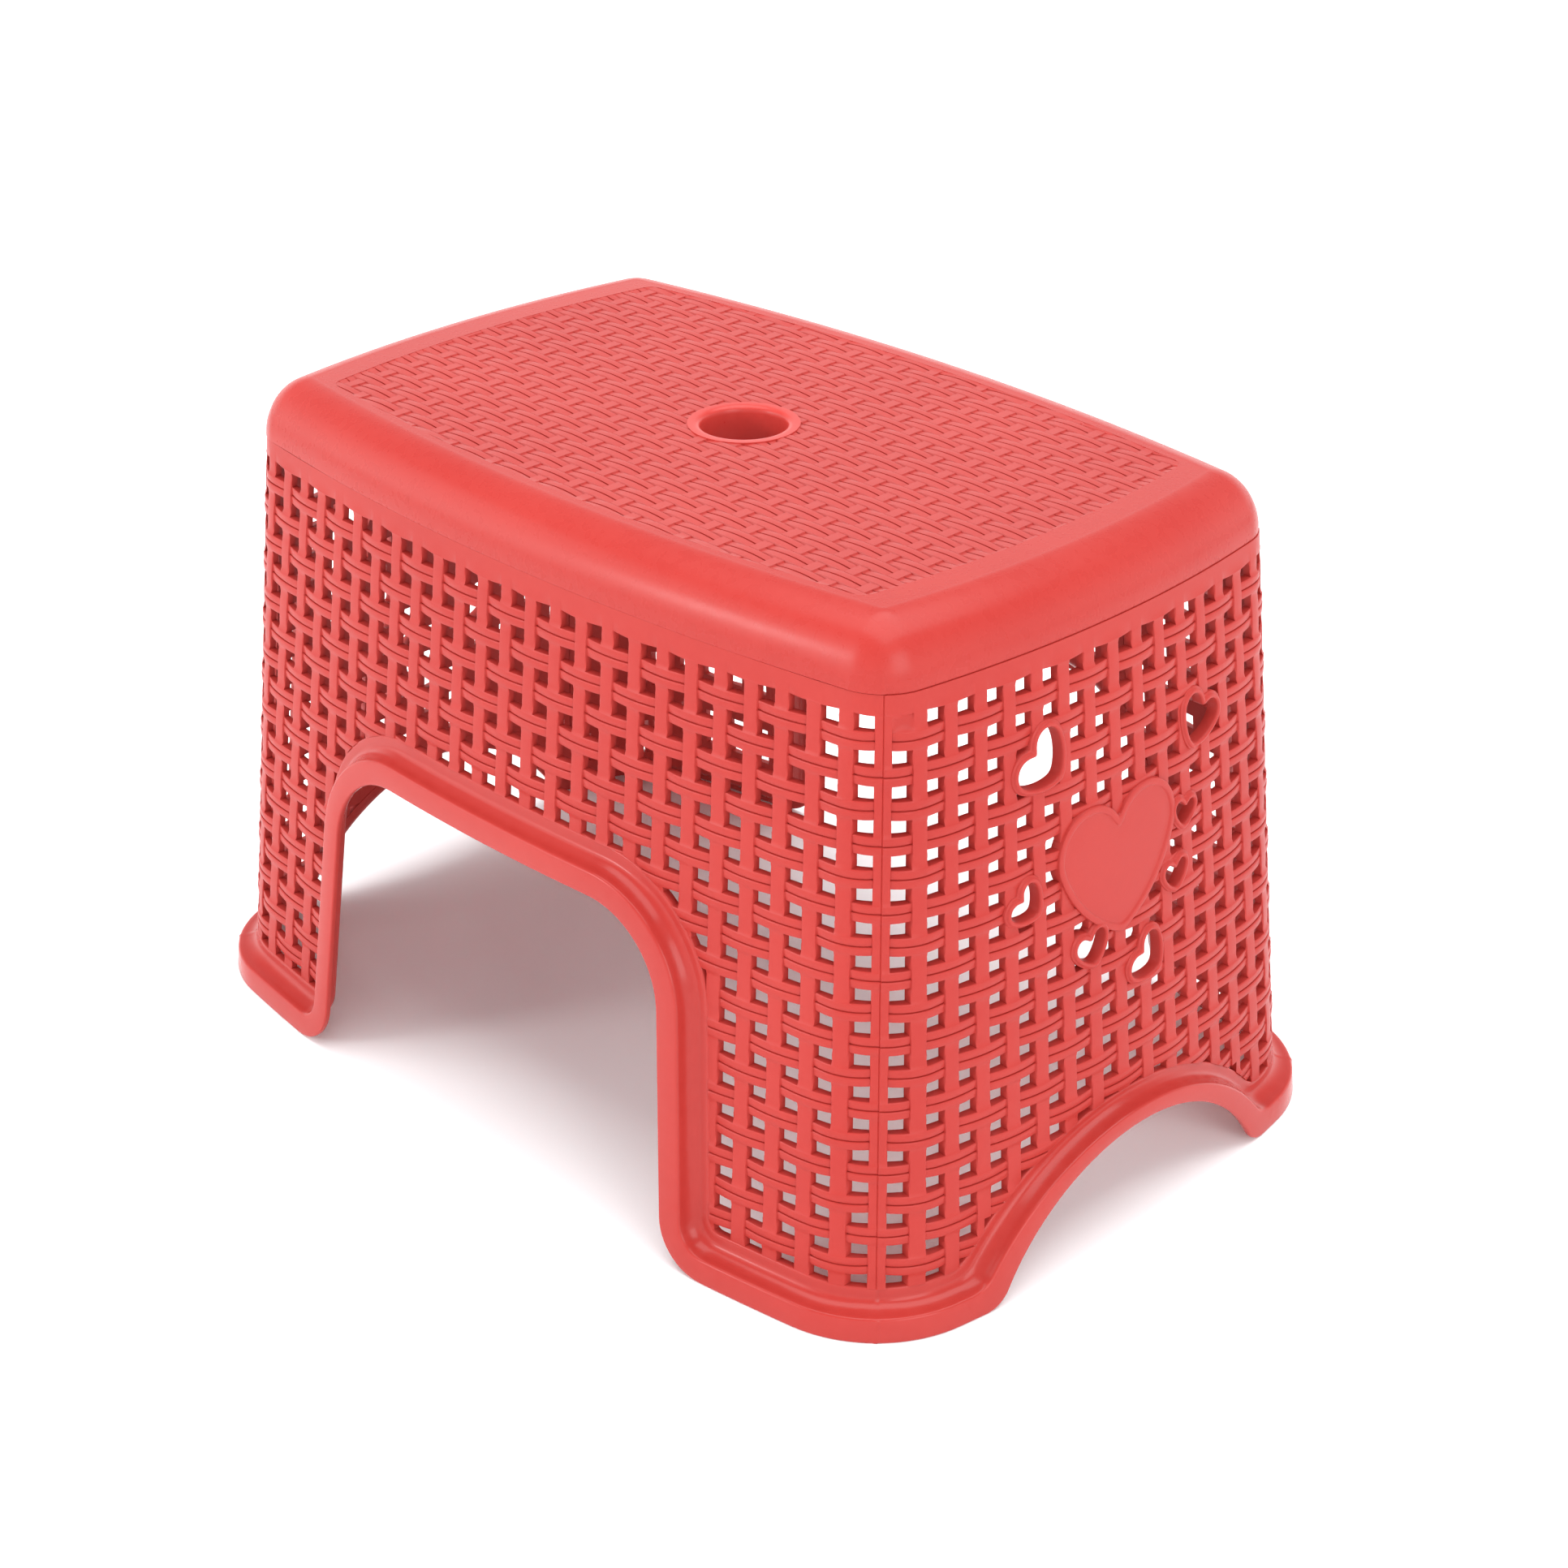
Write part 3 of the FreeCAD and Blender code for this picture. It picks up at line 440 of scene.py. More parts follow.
def edge_quarter(n, offset):
    """Points at n out and offset up from the lower edge, from the front's middle to the end's middle."""
    front, end = long_edge(offset), end_edge(offset)
    result = []
    for curve, is_end in ((front, False), (end, True)):
        start = curve[-1][0]
        corner = (-CORNER_C[1] if is_end else CORNER_C[0])
        limit = corner + (CORNER_R + offset_at(offset) + n) * math.sin(math.pi / 4)
        s = np.append(np.linspace(0, 1, CORNER_FLATS)[1:-1], [0.985, 1.0])
        flat = np.stack([start + s * (limit - start), np.full(len(s), offset)], -1)
        across = np.concatenate([curve, flat])
        out = wall_x_or_y(across[:, 0], across[:, 1], n, is_end)
        if is_end:
            result.append(np.stack([out, -across[:, 0], across[:, 1]], -1)[::-1][1:])
        else:
            result.append(np.stack([across[:, 0], -out, across[:, 1]], -1))
    return np.concatenate(result)


def full_loop(quarter):
    """Mirrors a quarter round to a closed loop."""
    back = (quarter * [1, -1, 1])[::-1][1:]
    half = np.concatenate([quarter, back])
    return np.concatenate([half, (half * [-1, -1, 1])[1:-1]])


def rim_profile():
    """Section of the rolled rim as (out, up) points: strip, cove, lip and the inside again."""
    cove = [(0.12 + 5.6 * (1 - math.cos(a)), 12.2 - 3.4 * math.sin(a)) for a in np.linspace(0, 1.45, 9)]
    nose = [(6.2 + 1.0 * math.sin(a), 7.8 + 1.0 * math.cos(a)) for a in np.linspace(0.15, 1.57, 5)]
    toe = [(6.5 + 0.7 * math.cos(a), 0.7 - 0.7 * math.sin(a)) for a in np.linspace(0, 1.57, 4)]
    heel = [(5.4 - 0.4 * math.sin(a), 0.4 - 0.4 * math.cos(a)) for a in np.linspace(0, 1.57, 3)]
    inside = [(5.0, 3.0)] + [(3.4 + 1.6 * math.cos(a), 4.6 + 1.4 * math.sin(a))
                             for a in np.linspace(0, 1.57, 4)]
    back = [(0.0, 6.2), (-1.6, 7.0), (-2.55, 8.6), (-2.75, 10.5), (-2.75, RIM_TOP + 0.15)]
    return [(-0.3, RIM_TOP + 0.15), (0.02, RIM_TOP), (0.12, RIM_TOP - 0.35),
            (0.12, 13.6)] + cove + nose + toe + heel + inside + back


def rims(material):
    """The rolled rim swept round the lower edge, parted past each arch and flashed at each corner."""
    loops = [full_loop(edge_quarter(n, up)) for n, up in rim_profile()]
    grid = np.stack(loops, 1)
    stations, sections = grid.shape[:2]
    quarter = len(edge_quarter(0, 0)) - 1
    half = 2 * quarter
    past_arch = 3
    long_end = len(long_edge(0)) - 1 + past_arch
    low_start = quarter - (len(end_edge(0)) - 1) - past_arch
    seam = len(long_edge(0)) + CORNER_FLATS - 1
    for k in (seam, half - seam, half + seam, 2 * half - seam):
        grid[k, :, :2] *= 1 + SEAM_RIDGE / np.hypot(*grid[k, 0, :2])
    spans = [
        ("front_arch_rim", -long_end, long_end),
        ("front_right_foot_rim", long_end, low_start),
        ("right_arch_rim", low_start, half - low_start),
        ("back_right_foot_rim", half - low_start, half - long_end),
        ("back_arch_rim", half - long_end, half + long_end),
        ("back_left_foot_rim", half + long_end, half + low_start),
        ("left_arch_rim", half + low_start, 2 * half - low_start),
        ("front_left_foot_rim", 2 * half - low_start, 2 * half - long_end),
    ]
    for name, start, stop in spans:
        rows = [k % stations for k in range(start, stop + 1)]
        points = grid[rows].reshape(-1, 3)
        faces = []
        for i in range(len(rows) - 1):
            for j in range(sections):
                k = (j + 1) % sections
                faces.append([i * sections + j, i * sections + k, (i + 1) * sections + k,
                              (i + 1) * sections + j])
        faces.append(list(range(sections))[::-1])
        faces.append([(len(rows) - 1) * sections + j for j in range(sections)])
        obj = new_mesh(name + "_look", points, faces, 50)
        face_out(obj)
        piece(obj, material, "rim_plastic", name)


# ------------------------------------------------------------- hearts
HEART_TALL, HEART_NOTCH = 0.84, 0.69
# across, up, width and tilt in degrees; the rings' places count from the medallion's
MEDALLION = (0.0, 131.2, 56.0, 0.0)
RINGS = [
    (-32.8, 45.4, 24.0, 45.0), (42.9, 33.9, 22.5, -28.0), (33.8, 5.0, 13.5, -8.0),
    (28.4, -15.0, 14.5, 5.0), (-42.0, 0.7, 16.5, 45.0), (-14.5, -24.5, 16.5, 12.0),
    (13.2, -38.6, 20.0, 45.0),
]
# sections as (inset from the outline, out from the wall)
MEDALLION_SECTION = [
    (-0.35, -2.8), (-0.35, 1.1), (-0.2, 1.35), (0.15, 1.5), (1.6, 1.5), (1.85, 1.4), (2.0, 1.15),
    (2.15, 1.0), (2.5, 0.98), (5.0, 1.05), (9.5, 1.1),
]
RING_SECTION = [
    (-0.75, -2.8), (-0.75, 0.6), (-0.55, 0.85), (-0.2, 0.95), (-0.05, 1.3), (0.25, 1.62), (0.7, 1.75),
    (1.15, 1.62), (1.4, 1.2), (1.5, 0.6), (1.55, -2.8),
]
WINDOW_INSET = 0.3   # the weave reaches this far under a heart


def three_point_arc(a, b, c, count):
    """Points of the circle arc from a through b to c."""
    a, b, c = (np.asarray(v, float) for v in (a, b, c))
    m = 2 * np.array([b - a, c - a])
    centre = np.linalg.solve(m, [b @ b - a @ a, c @ c - a @ a])
    angles = [math.atan2(*(v - centre)[::-1]) for v in (a, b, c)]
    span = (angles[2] - angles[0]) % (2 * math.pi)
    if (angles[1] - angles[0]) % (2 * math.pi) > span:
        span -= 2 * math.pi
    turn = angles[0] + span * np.linspace(0, 1, count)
    radius = math.hypot(*(a - centre))
    return np.stack([centre[0] + radius * np.cos(turn), centre[1] + radius * np.sin(turn)], -1)


def heart(wide):
    """Outline of a heart that is wide across, about the middle of its height."""
    tall, half = HEART_TALL * wide, wide / 2
    notch = (0, HEART_NOTCH * wide - tall / 2)
    side = (half, tall / 2 - half * 0.62)
    hip = (half * 0.62, -tall / 2 + half * 0.42)
    right = np.concatenate([three_point_arc(notch, (half / 2, tall / 2), side, 24)[:-1],
                            three_point_arc(side, hip, (0, -tall / 2), 24)])
    return np.concatenate([right, (right * [-1, 1])[::-1][1:-1]])


def inset_loops(outline, insets, count=120):
    """The outline moved inwards by each inset and softened, read along rays from its middle."""
    a, b = outline, np.roll(outline, -1, 0)
    middle = np.array([0.0, outline[:, 1].max() * 0.12])
    turn = np.linspace(0, 2 * math.pi, count, endpoint=False)
    rays = np.stack([np.cos(turn), np.sin(turn)], -1)
    reach = np.linspace(0, np.abs(outline).max() * 1.6, 130)
    p = (middle + reach[None, :, None] * rays[:, None, :]).reshape(-1, 1, 2)
    ab = (b - a)[None]
    s = np.clip(((p - a[None]) * ab).sum(-1) / np.maximum((ab ** 2).sum(-1), 1e-9), 0, 1)
    gap = np.sqrt((((a[None] + s[..., None] * ab) - p) ** 2).sum(-1)).min(1)
    y, x = p[:, 0, 1:2], p[:, 0, 0:1]
    crosses = ((a[:, 1] > y) != (b[:, 1] > y)) & (
        x < (b[:, 0] - a[:, 0]) * (y - a[:, 1]) / (b[:, 1] - a[:, 1] + 1e-12) + a[:, 0])
    depth = np.where(crosses.sum(1) % 2 == 1, gap, -gap).reshape(count, -1)
    rows = np.arange(count)
    loops = []
    for inset, softening in insets:
        signed = depth - inset
        first = np.argmax(signed < 0, 1)
        before, after = signed[rows, first - 1], signed[rows, first]
        r = reach[first - 1] + reach[1] * before / (before - after + 1e-12)
        for _ in range(softening):
            r = 0.5 * r + 0.25 * (np.roll(r, 1) + np.roll(r, -1))
        loops.append(middle + r[:, None] * rays)
    return loops


def place(loop, across, up, tilt):
    """The loop tilted in degrees and moved to its place on the wall."""
    turn = math.radians(tilt)
    x = loop[:, 0] * math.cos(turn) - loop[:, 1] * math.sin(turn)
    y = loop[:, 0] * math.sin(turn) + loop[:, 1] * math.cos(turn)
    return np.stack([x + across, y + up], -1)


def on_end(loop, n):
    """An elevation loop laid n out from the right wall."""
    out = wall_x_or_y(loop[:, 0], loop[:, 1], np.full(len(loop), n), True)
    return np.stack([out, loop[:, 0], loop[:, 1]], -1)


def lofted(name, loops, closed_ring=False, smooth=50):
    """A closed solid through loops of equal count, capped, or joined last to first as a ring."""
    count = len(loops[0])
    points = np.concatenate(loops)
    faces = []
    rounds = len(loops) if closed_ring else len(loops) - 1
    for i in range(rounds):
        j = (i + 1) % len(loops)
        for k in range(count):
            m = (k + 1) % count
            faces.append([i * count + k, i * count + m, j * count + m, j * count + k])
    if not closed_ring:
        faces.append(list(range(count))[::-1])
        faces.append([(len(loops) - 1) * count + k for k in range(count)])
    obj = new_mesh(name, points, faces, smooth)
    face_out(obj)
    return obj


def turned(points):
    """Half a turn about the stool's upright axis."""
    return points * [-1, -1, 1]


def hearts(material):
    """Medallion and rings of both end walls; gives their outlines as cutters for the weave."""
    across, up, wide, tilt = MEDALLION
    outline = heart(wide)
    steps = [(d, 1 + max(int(d), 0)) for d, n in MEDALLION_SECTION] + [(WINDOW_INSET, 1)]
    *loops, window = inset_loops(outline, steps)
    cutters = [place(window, across, up, tilt)]
    ring_loops = []
    for a, u, w, t in RINGS:
        steps = [(d, 2 + int(3 * max(d, 0))) for d, n in RING_SECTION] + [(WINDOW_INSET, 2)]
        *shapes, window = inset_loops(heart(w), steps, 72)
        ring_loops.append([place(shape, a, up + u, t) for shape in shapes])
        cutters.append(place(window, a, up + u, t))
    for side, move in (("right", lambda p: p), ("left", turned)):
        shape = [move(on_end(place(loop, across, up, tilt), n))
                 for loop, (d, n) in zip(loops, MEDALLION_SECTION)]
        obj = lofted("heart_medallion_%s_look" % side, shape, smooth=60)
        piece(obj, material, "heart_plastic", "heart_medallion_" + side)
        rings = []
        for number, group in enumerate(ring_loops):
            shape = [move(on_end(loop, n)) for loop, (d, n) in zip(group, RING_SECTION)]
            rings.append(lofted("heart_ring_%s_%d" % (side, number), shape, True, 60))
        joined = join(rings, "heart_rings_%s_look" % side)
        piece(joined, material, "heart_plastic", "heart_rings_" + side)
    return cutters


def join(objects, name):
    """One object of all the given ones."""
    points, faces, base = [], [], 0
    for obj in objects:
        co = np.zeros(len(obj.data.vertices) * 3)
        obj.data.vertices.foreach_get("co", co)
        points.append(co.reshape(-1, 3) / MM)
        faces += [[v + base for v in f.vertices] for f in obj.data.polygons]
        base += len(obj.data.vertices)
    remove(objects)
    return new_mesh(name, np.concatenate(points), faces, 60)


# ------------------------------------------------------------- shoulder, seat and finger hole
def outline_stations():
    """Stations round the outline: arc centre, radius, outward direction and nearness to a corner."""
    stations = []
    long_turns = np.linspace(-LONG_TURN, LONG_TURN, 61)
    corner_turns = np.linspace(LONG_TURN, math.pi / 2 - END_TURN, 31)
    end_turns = np.linspace(-END_TURN, END_TURN, 41)
    for flip in (1, -1):
        for a in long_turns[:-1]:
            out = np.array([math.sin(a), -math.cos(a)])
            stations.append((LONG_C * flip, LONG_R, out * flip, abs(a) / LONG_TURN))
        for a in corner_turns[:-1]:
            out = np.array([math.sin(a), -math.cos(a)])
            stations.append((CORNER_C * flip, CORNER_R, out * flip, 1))
        for a in end_turns[:-1]:
            out = np.array([math.cos(a), math.sin(a)])
            stations.append((END_C * flip, END_R, out * flip, 1))
        other = np.array([CORNER_C[0], -CORNER_C[1]])
        for a in corner_turns[::-1][:-1]:
            out = np.array([math.sin(a), math.cos(a)])
            stations.append((other * flip, CORNER_R, out * flip, 1))
    return stations


OVERHANG = 0.32      # how far the shoulder stands over the long walls, near their corners
OVERHANG_FROM, OVERHANG_TALL = 0.86, 9.0     # share of a long side where it starts, and its height
NOTCH = (-0.05, -0.25)   # the parting line under it: on the long walls, and more towards the corners
NOTCH_FROM = 0.7     # share of a long side where the notch starts to deepen
UNDERCUT = -0.6      # the shoulder's lowest level, behind the wall's face
SKIN = 5.0           # what lies less deep than this follows the overhang


def shoulder_section():
    """Section of the shoulder as (out, up) from the wall's face at its lower edge."""
    turns = np.linspace(0, math.pi / 2, 20)
    top = [(-SHOULDER_W + SHOULDER_W * math.cos(a), SHOULDER_TALL * math.sin(a)) for a in turns]
    top[1:1] = [(0.0, 0.3), (0.0, 0.45)]
    wide, tall = SHOULDER_W - WALL, SHOULDER_TALL - WALL
    under = [(-SHOULDER_W + wide * math.cos(a), tall * math.sin(a)) for a in turns[::-2]]
    lap = [(-SHOULDER_W - 0.4, SHOULDER_TALL - 0.05), (-SHOULDER_W - 0.4, SHOULDER_TALL - WALL)]
    return top + lap + under + [(-WALL, UNDERCUT), (-0.25, UNDERCUT), (-0.12, UNDERCUT / 2)]


def shoulder(material):
    """Rounded shoulder; near the corners its lower edge stands a little proud of the long walls."""
    base = offset_at(SHOULDER_Z)
    stations = outline_stations()
    section = shoulder_section()
    points = []
    for centre, radius, out, share in stations:
        if abs(out[0]) > abs(out[1]):
            step, notch = 0.0, sum(NOTCH)
        else:
            step = OVERHANG * min(max((share - OVERHANG_FROM) / (1 - OVERHANG_FROM), 0), 1)
            notch = NOTCH[0] + NOTCH[1] * min(max((share - NOTCH_FROM) / (1 - NOTCH_FROM), 0), 1)
        for n, up in section:
            lift = step * max(0.0, 1 - max(up, 0) / OVERHANG_TALL) if n > -SKIN else 0
            if up < 0.01 and n > -1:
                lift = notch
            flat = centre + out * (radius + base + n + lift)
            points.append((flat[0], flat[1], SHOULDER_Z + up))
    count, ring = len(section), len(stations)
    faces = []
    for i in range(ring):
        j = (i + 1) % ring
        for k in range(count):
            m = (k + 1) % count
            faces.append([i * count + k, j * count + k, j * count + m, i * count + m])
    obj = new_mesh("shoulder_look", points, faces, 50)
    face_out(obj)
    piece(obj, material, "smooth_plastic", "shoulder")


# woven texture of the seat, millimetres apart from the shares of a column or row
SEAT_COL, SEAT_ROW = 11.2, 6.86
SEAT_STRIP, SEAT_STRAND = 0.195, 0.475   # half widths, in columns and rows
SEAT_STRIP_LEVEL = -0.3
SEAT_TOP = -0.02     # highest level, under the stool's height
SEAT_GROOVE, SEAT_GROOVE_LEVEL = 0.36, -0.75
SEAT_CURVE = 0.68    # drop of a strand from its middle to its ends
SEAT_TILT, SEAT_BEVEL, SEAT_BEVEL_DROP = 0.15, 0.35, 0.2
SEAT_EDGE, SEAT_EDGE_DROP = 0.3, 0.5
FADE_RUN, FADE_OUT, FADE_LEAST = 2.6, 0.6, 0.08  # the texture fades over this run at the panel's edge
SEAT_SPAN = 13       # strips and strands to each side of the middle
PANEL_LONG_R, PANEL_END_R, PANEL_CORNER = LONG_C[1] + 84.6, 133.8 - END_C[0], 5.0
RING_R, BORE_R, TUBE_WALL, TUBE_DEEP = 19.1, 14.7, 2.2, 16.0
BELOW_SEAT, OVER_SEAT = 200.0, 260.0     # heights that cutters span


def seat_relief(x, y):
    """Height of the woven seat texture, nought at the seat's top, fading out at the panel's edge."""
    c, t = x / SEAT_COL, y / SEAT_ROW + 0.5
    strip, strand = np.round(c), np.floor(t)
    aside, up = c - strip, (t - strand - 0.5) * SEAT_ROW
    over = (strip + strand) % 2 == 0
    on_strip = np.abs(aside) < SEAT_STRIP - 1e-6
    centre = np.where(over, strip, strip + np.where(aside >= 0, 1, -1))
    xi = (c - centre) / (1 - SEAT_STRIP)
    half = SEAT_STRAND * SEAT_ROW
    from_far = np.where(up > 0, half - up, -up)
    rib = -SEAT_TILT * np.clip(from_far / half, 0, 1)
    rib = rib - SEAT_BEVEL_DROP * np.clip(1 - from_far / SEAT_BEVEL, 0, 1)
    rib = np.where(np.abs(up) < SEAT_GROOVE + 1e-6, SEAT_GROOVE_LEVEL, rib)
    edge = np.clip((np.abs(up) - (half - SEAT_EDGE)) / SEAT_EDGE, 0, 1)
    rise = SEAT_TOP - SEAT_CURVE * np.clip(xi ** 2, 0, 1) + rib - SEAT_EDGE_DROP * edge
    level = np.where(on_strip & ~over, SEAT_STRIP_LEVEL, rise)
    from_long = PANEL_LONG_R - np.hypot(x, LONG_C[1] + np.abs(y))
    from_end = PANEL_END_R - np.hypot(np.abs(x) - END_C[0], y)
    return level * np.clip((np.minimum(from_long, from_end) + FADE_OUT) / FADE_RUN, FADE_LEAST, 1)


def upright(name, outline, low, high):
    """A closed plan outline drawn from low to high."""
    return lofted(name, [np.column_stack([outline, np.full(len(outline), z)]) for z in (low, high)])


def seat_panel(material, outline):
    """Textured panel, a grid of the relief trimmed to its outline and round the finger hole's ring."""
    xs = []
    for strip in range(-SEAT_SPAN, SEAT_SPAN + 1):
        near = [-SEAT_STRIP, -SEAT_STRIP + 0.02, 0, SEAT_STRIP - 0.02, SEAT_STRIP]
        xs += [(strip + d) * SEAT_COL for d in near]
        xs += [(strip + SEAT_STRIP + (1 - 2 * SEAT_STRIP) * s) * SEAT_COL for s in (0.2, 0.4, 0.6, 0.8)]
    ys = []
    half = SEAT_STRAND * SEAT_ROW
    across = [-half, -half + 0.12, -half + 0.3, -half + 0.42, -1.7, -0.9, -SEAT_GROOVE - 0.06, -SEAT_GROOVE]
    across += [-v for v in across[::-1]]
    for strand in range(-SEAT_SPAN, SEAT_SPAN + 1):
        ys += [strand * SEAT_ROW + v for v in across]
    xs, ys = np.array(xs), np.array(ys)
    xx, yy = np.meshgrid(xs, ys, indexing="ij")
    top = HEIGHT + SEAT_TOP + seat_relief(xx, yy)
    nx, ny = xx.shape
    ids = np.arange(nx * ny).reshape(nx, ny)
    shift = nx * ny
    points = np.concatenate([np.stack([xx, yy, top], -1).reshape(-1, 3),
                             np.stack([xx, yy, np.full(xx.shape, HEIGHT - WALL)], -1).reshape(-1, 3)])
    faces = np.stack([ids[:-1, :-1], ids[1:, :-1], ids[1:, 1:], ids[:-1, 1:]], -1).reshape(-1, 4).tolist()
    ring = list(ids[:, 0]) + list(ids[-1, 1:]) + list(ids[-2::-1, -1]) + list(ids[0, -2:0:-1])
    ring = [int(v) for v in ring]
    faces += [[ring[i], ring[i] + shift, ring[(i + 1) % len(ring)] + shift, ring[(i + 1) % len(ring)]]
              for i in range(len(ring))]
    faces.append([v + shift for v in ring[::-1]])
    used = sorted({v for f in faces for v in f})
    index = {v: i for i, v in enumerate(used)}
    obj = new_mesh("seat_panel_look", points[used], [[index[v] for v in f] for f in faces], 35)
    face_out(obj)
    keep = upright("keep", outline, BELOW_SEAT, OVER_SEAT)
    step = obj.modifiers.new("clip", "BOOLEAN")
    step.operation, step.solver, step.object = "INTERSECT", "MANIFOLD", keep
    turn = np.linspace(0, 2 * math.pi, 96, endpoint=False)
    hole = (RING_R - 0.05) * np.stack([np.cos(turn), np.sin(turn)], -1)
    plug = upright("plug", hole, BELOW_SEAT, OVER_SEAT)
    cut(obj, [plug], 35)
    remove([keep, plug])
    piece(obj, material, "seat_texture", "seat_panel")


def rounded_outline(long_r, end_r, corner):
    """Closed outline of two long arcs and two end arcs joined by corner arcs."""
    centre = corner_centre(long_r, end_r, corner)
    la = math.asin(centre[0] / (long_r - corner))
    ea = math.asin(-centre[1] / (end_r - corner))
    other = centre * [1, -1]
    loop = [LONG_C + long_r * np.array([math.sin(a), -math.cos(a)]) for a in np.linspace(-la, la, 40)[:-1]]
    loop += [centre + corner * np.array([math.sin(a), -math.cos(a)])
             for a in np.linspace(la, math.pi / 2 - ea, 9)[:-1]]
    loop += [END_C + end_r * np.array([math.cos(a), math.sin(a)]) for a in np.linspace(-ea, ea, 28)[:-1]]
    loop += [other + corner * np.array([math.sin(a), math.cos(a)])
             for a in np.linspace(math.pi / 2 - ea, la, 9)[:-1]]
    return np.concatenate([loop, -np.array(loop)])


def seat_border(material, panel):
    """Plain rim of the seat between the shoulder's top and the textured panel."""
    off = offset_at(SHOULDER_Z) - SHOULDER_W + 0.1
    outer = rounded_outline(LONG_R + off, END_R + off, CORNER_R + off)
    obj = upright("seat_border_look", outer, HEIGHT - WALL, HEIGHT + SEAT_TOP / 2)
    inner = upright("inner", panel, BELOW_SEAT, OVER_SEAT)
    cut(obj, [inner])
    remove([inner])
    piece(obj, material, "smooth_plastic", "seat_border")


def collar(material):
    """Plain ring round the finger hole and the tube under it."""
    tube = BORE_R + TUBE_WALL
    section = [(BORE_R, HEIGHT - TUBE_DEEP), (BORE_R, HEIGHT - 2.6), (BORE_R + 0.12, HEIGHT - 1.3),
               (BORE_R + 0.55, HEIGHT - 0.55), (BORE_R + 1.3, HEIGHT - 0.15), (tube, HEIGHT + SEAT_TOP),
               (RING_R, HEIGHT + SEAT_TOP), (RING_R, HEIGHT - WALL), (tube, HEIGHT - WALL),
               (tube, HEIGHT - TUBE_DEEP + 0.2), (tube - 0.3, HEIGHT - TUBE_DEEP)]
    turn = np.linspace(0, 2 * math.pi, 128, endpoint=False)
    loops = [np.stack([r * np.cos(turn), r * np.sin(turn), np.full(128, z)], -1) for r, z in section]
    obj = lofted("finger_hole_collar_look", loops, True, 50)
    piece(obj, material, "smooth_plastic", "finger_hole_collar")


# ------------------------------------------------------------- materials
def noise(tree, coords, scale, detail):
    """A noise texture over the object's own metres."""
    tex = tree.nodes.new("ShaderNodeTexNoise")
    tex.inputs["Scale"].default_value = scale
    tex.inputs["Detail"].default_value = detail
    tree.links.new(coords.outputs["Object"], tex.inputs["Vector"])
    return tex.outputs["Fac"]


def plastic(name, tint, rough, bump, scale=1.0, specular=0.34):
    """Moulded polypropylene: faint mottling, uneven gloss and a fine grain."""
    mat = bpy.data.materials.new(name)
    mat.use_nodes = True
    tree = mat.node_tree
    nodes, links = tree.nodes, tree.links
    nodes.clear()
    out = nodes.new("ShaderNodeOutputMaterial")
    shader = nodes.new("ShaderNodeBsdfPrincipled")
    links.new(shader.outputs[0], out.inputs[0])
    coords = nodes.new("ShaderNodeTexCoord")
    cloud = noise(tree, coords, 14.0 * scale, 1.0)
    grain = noise(tree, coords, 900.0, 3.0)
    speck = noise(tree, coords, 260.0, 2.0)
    blend = nodes.new("ShaderNodeMix")
    blend.inputs[0].default_value = SPECK_SHARE
    links.new(cloud, blend.inputs[2])
    links.new(speck, blend.inputs[3])
    ramp = nodes.new("ShaderNodeValToRGB")
    ramp.color_ramp.interpolation = "EASE"
    dark, light = ramp.color_ramp.elements
    dark.position, light.position = 0.12, 0.88
    dark.color = (*[v * f for v, f in zip(tint, DARKER)], 1)
    light.color = (*[v * f for v, f in zip(tint, LIGHTER)], 1)
    links.new(blend.outputs[0], ramp.inputs["Fac"])
    links.new(ramp.outputs["Color"], shader.inputs["Base Color"])
    gloss = nodes.new("ShaderNodeMapRange")
    gloss.inputs["To Min"].default_value = rough - 0.05
    gloss.inputs["To Max"].default_value = rough + 0.07
    links.new(speck, gloss.inputs["Value"])
    links.new(gloss.outputs["Result"], shader.inputs["Roughness"])
    bumps = nodes.new("ShaderNodeBump")
    bumps.inputs["Strength"].default_value = bump
    bumps.inputs["Distance"].default_value = GRAIN_DEPTH
    links.new(grain, bumps.inputs["Height"])
    links.new(bumps.outputs["Normal"], shader.inputs["Normal"])
    shader.inputs["IOR"].default_value = 1.49
    shader.inputs["Specular IOR Level"].default_value = specular
    return mat


TINT = (0.41, 0.035, 0.029)
DARKER, LIGHTER = (0.93, 0.86, 0.86), (1.03, 1.12, 1.10)
SPECK_SHARE = 0.3
GRAIN_DEPTH = 0.0002     # metres
WEAVE = plastic("weave_plastic", TINT, 0.36, 0.12, specular=0.17)
SMOOTH = plastic("smooth_plastic", TINT, 0.27, 0.06, scale=1.3, specular=0.2)
# painted glow: the collar and bore use the same plastic tint raised 1.18 times, standing in for light that
# brightens the bore's wall
COLLAR_PAINTED_GLOW = plastic("bore_painted_glow_plastic", [v * 1.18 for v in TINT], 0.3, 0.06, specular=0.25)
SEAT = plastic("seat_texture_plastic", TINT, 0.42, 0.15, specular=0.36)
RIM = plastic("rim_plastic", TINT, 0.2, 0.06, specular=0.24)
HEARTS = plastic("heart_plastic", TINT, 0.40, 0.15, specular=0.2)
# painted shade: the ribs under the seat use the same plastic tint darkened to 0.9, standing in for the shade
# under the seat
UNDER_PAINTED_SHADE = plastic("underside_plastic", [v * 0.9 for v in TINT], 0.5, 0.3, specular=0.15)

# ------------------------------------------------------------- the stool
LONG_MIDDLE, END_MIDDLE = LONG_COLS // 2, LONG_COLS + END_COLS // 2
REACH, BELOW = 260.0, -30.0          # how far cutters go out and down
BLIND = {(LONG_COLS, 0), (HALF_BELT + LONG_COLS, 0)}     # (column, row) of the windows that are filled


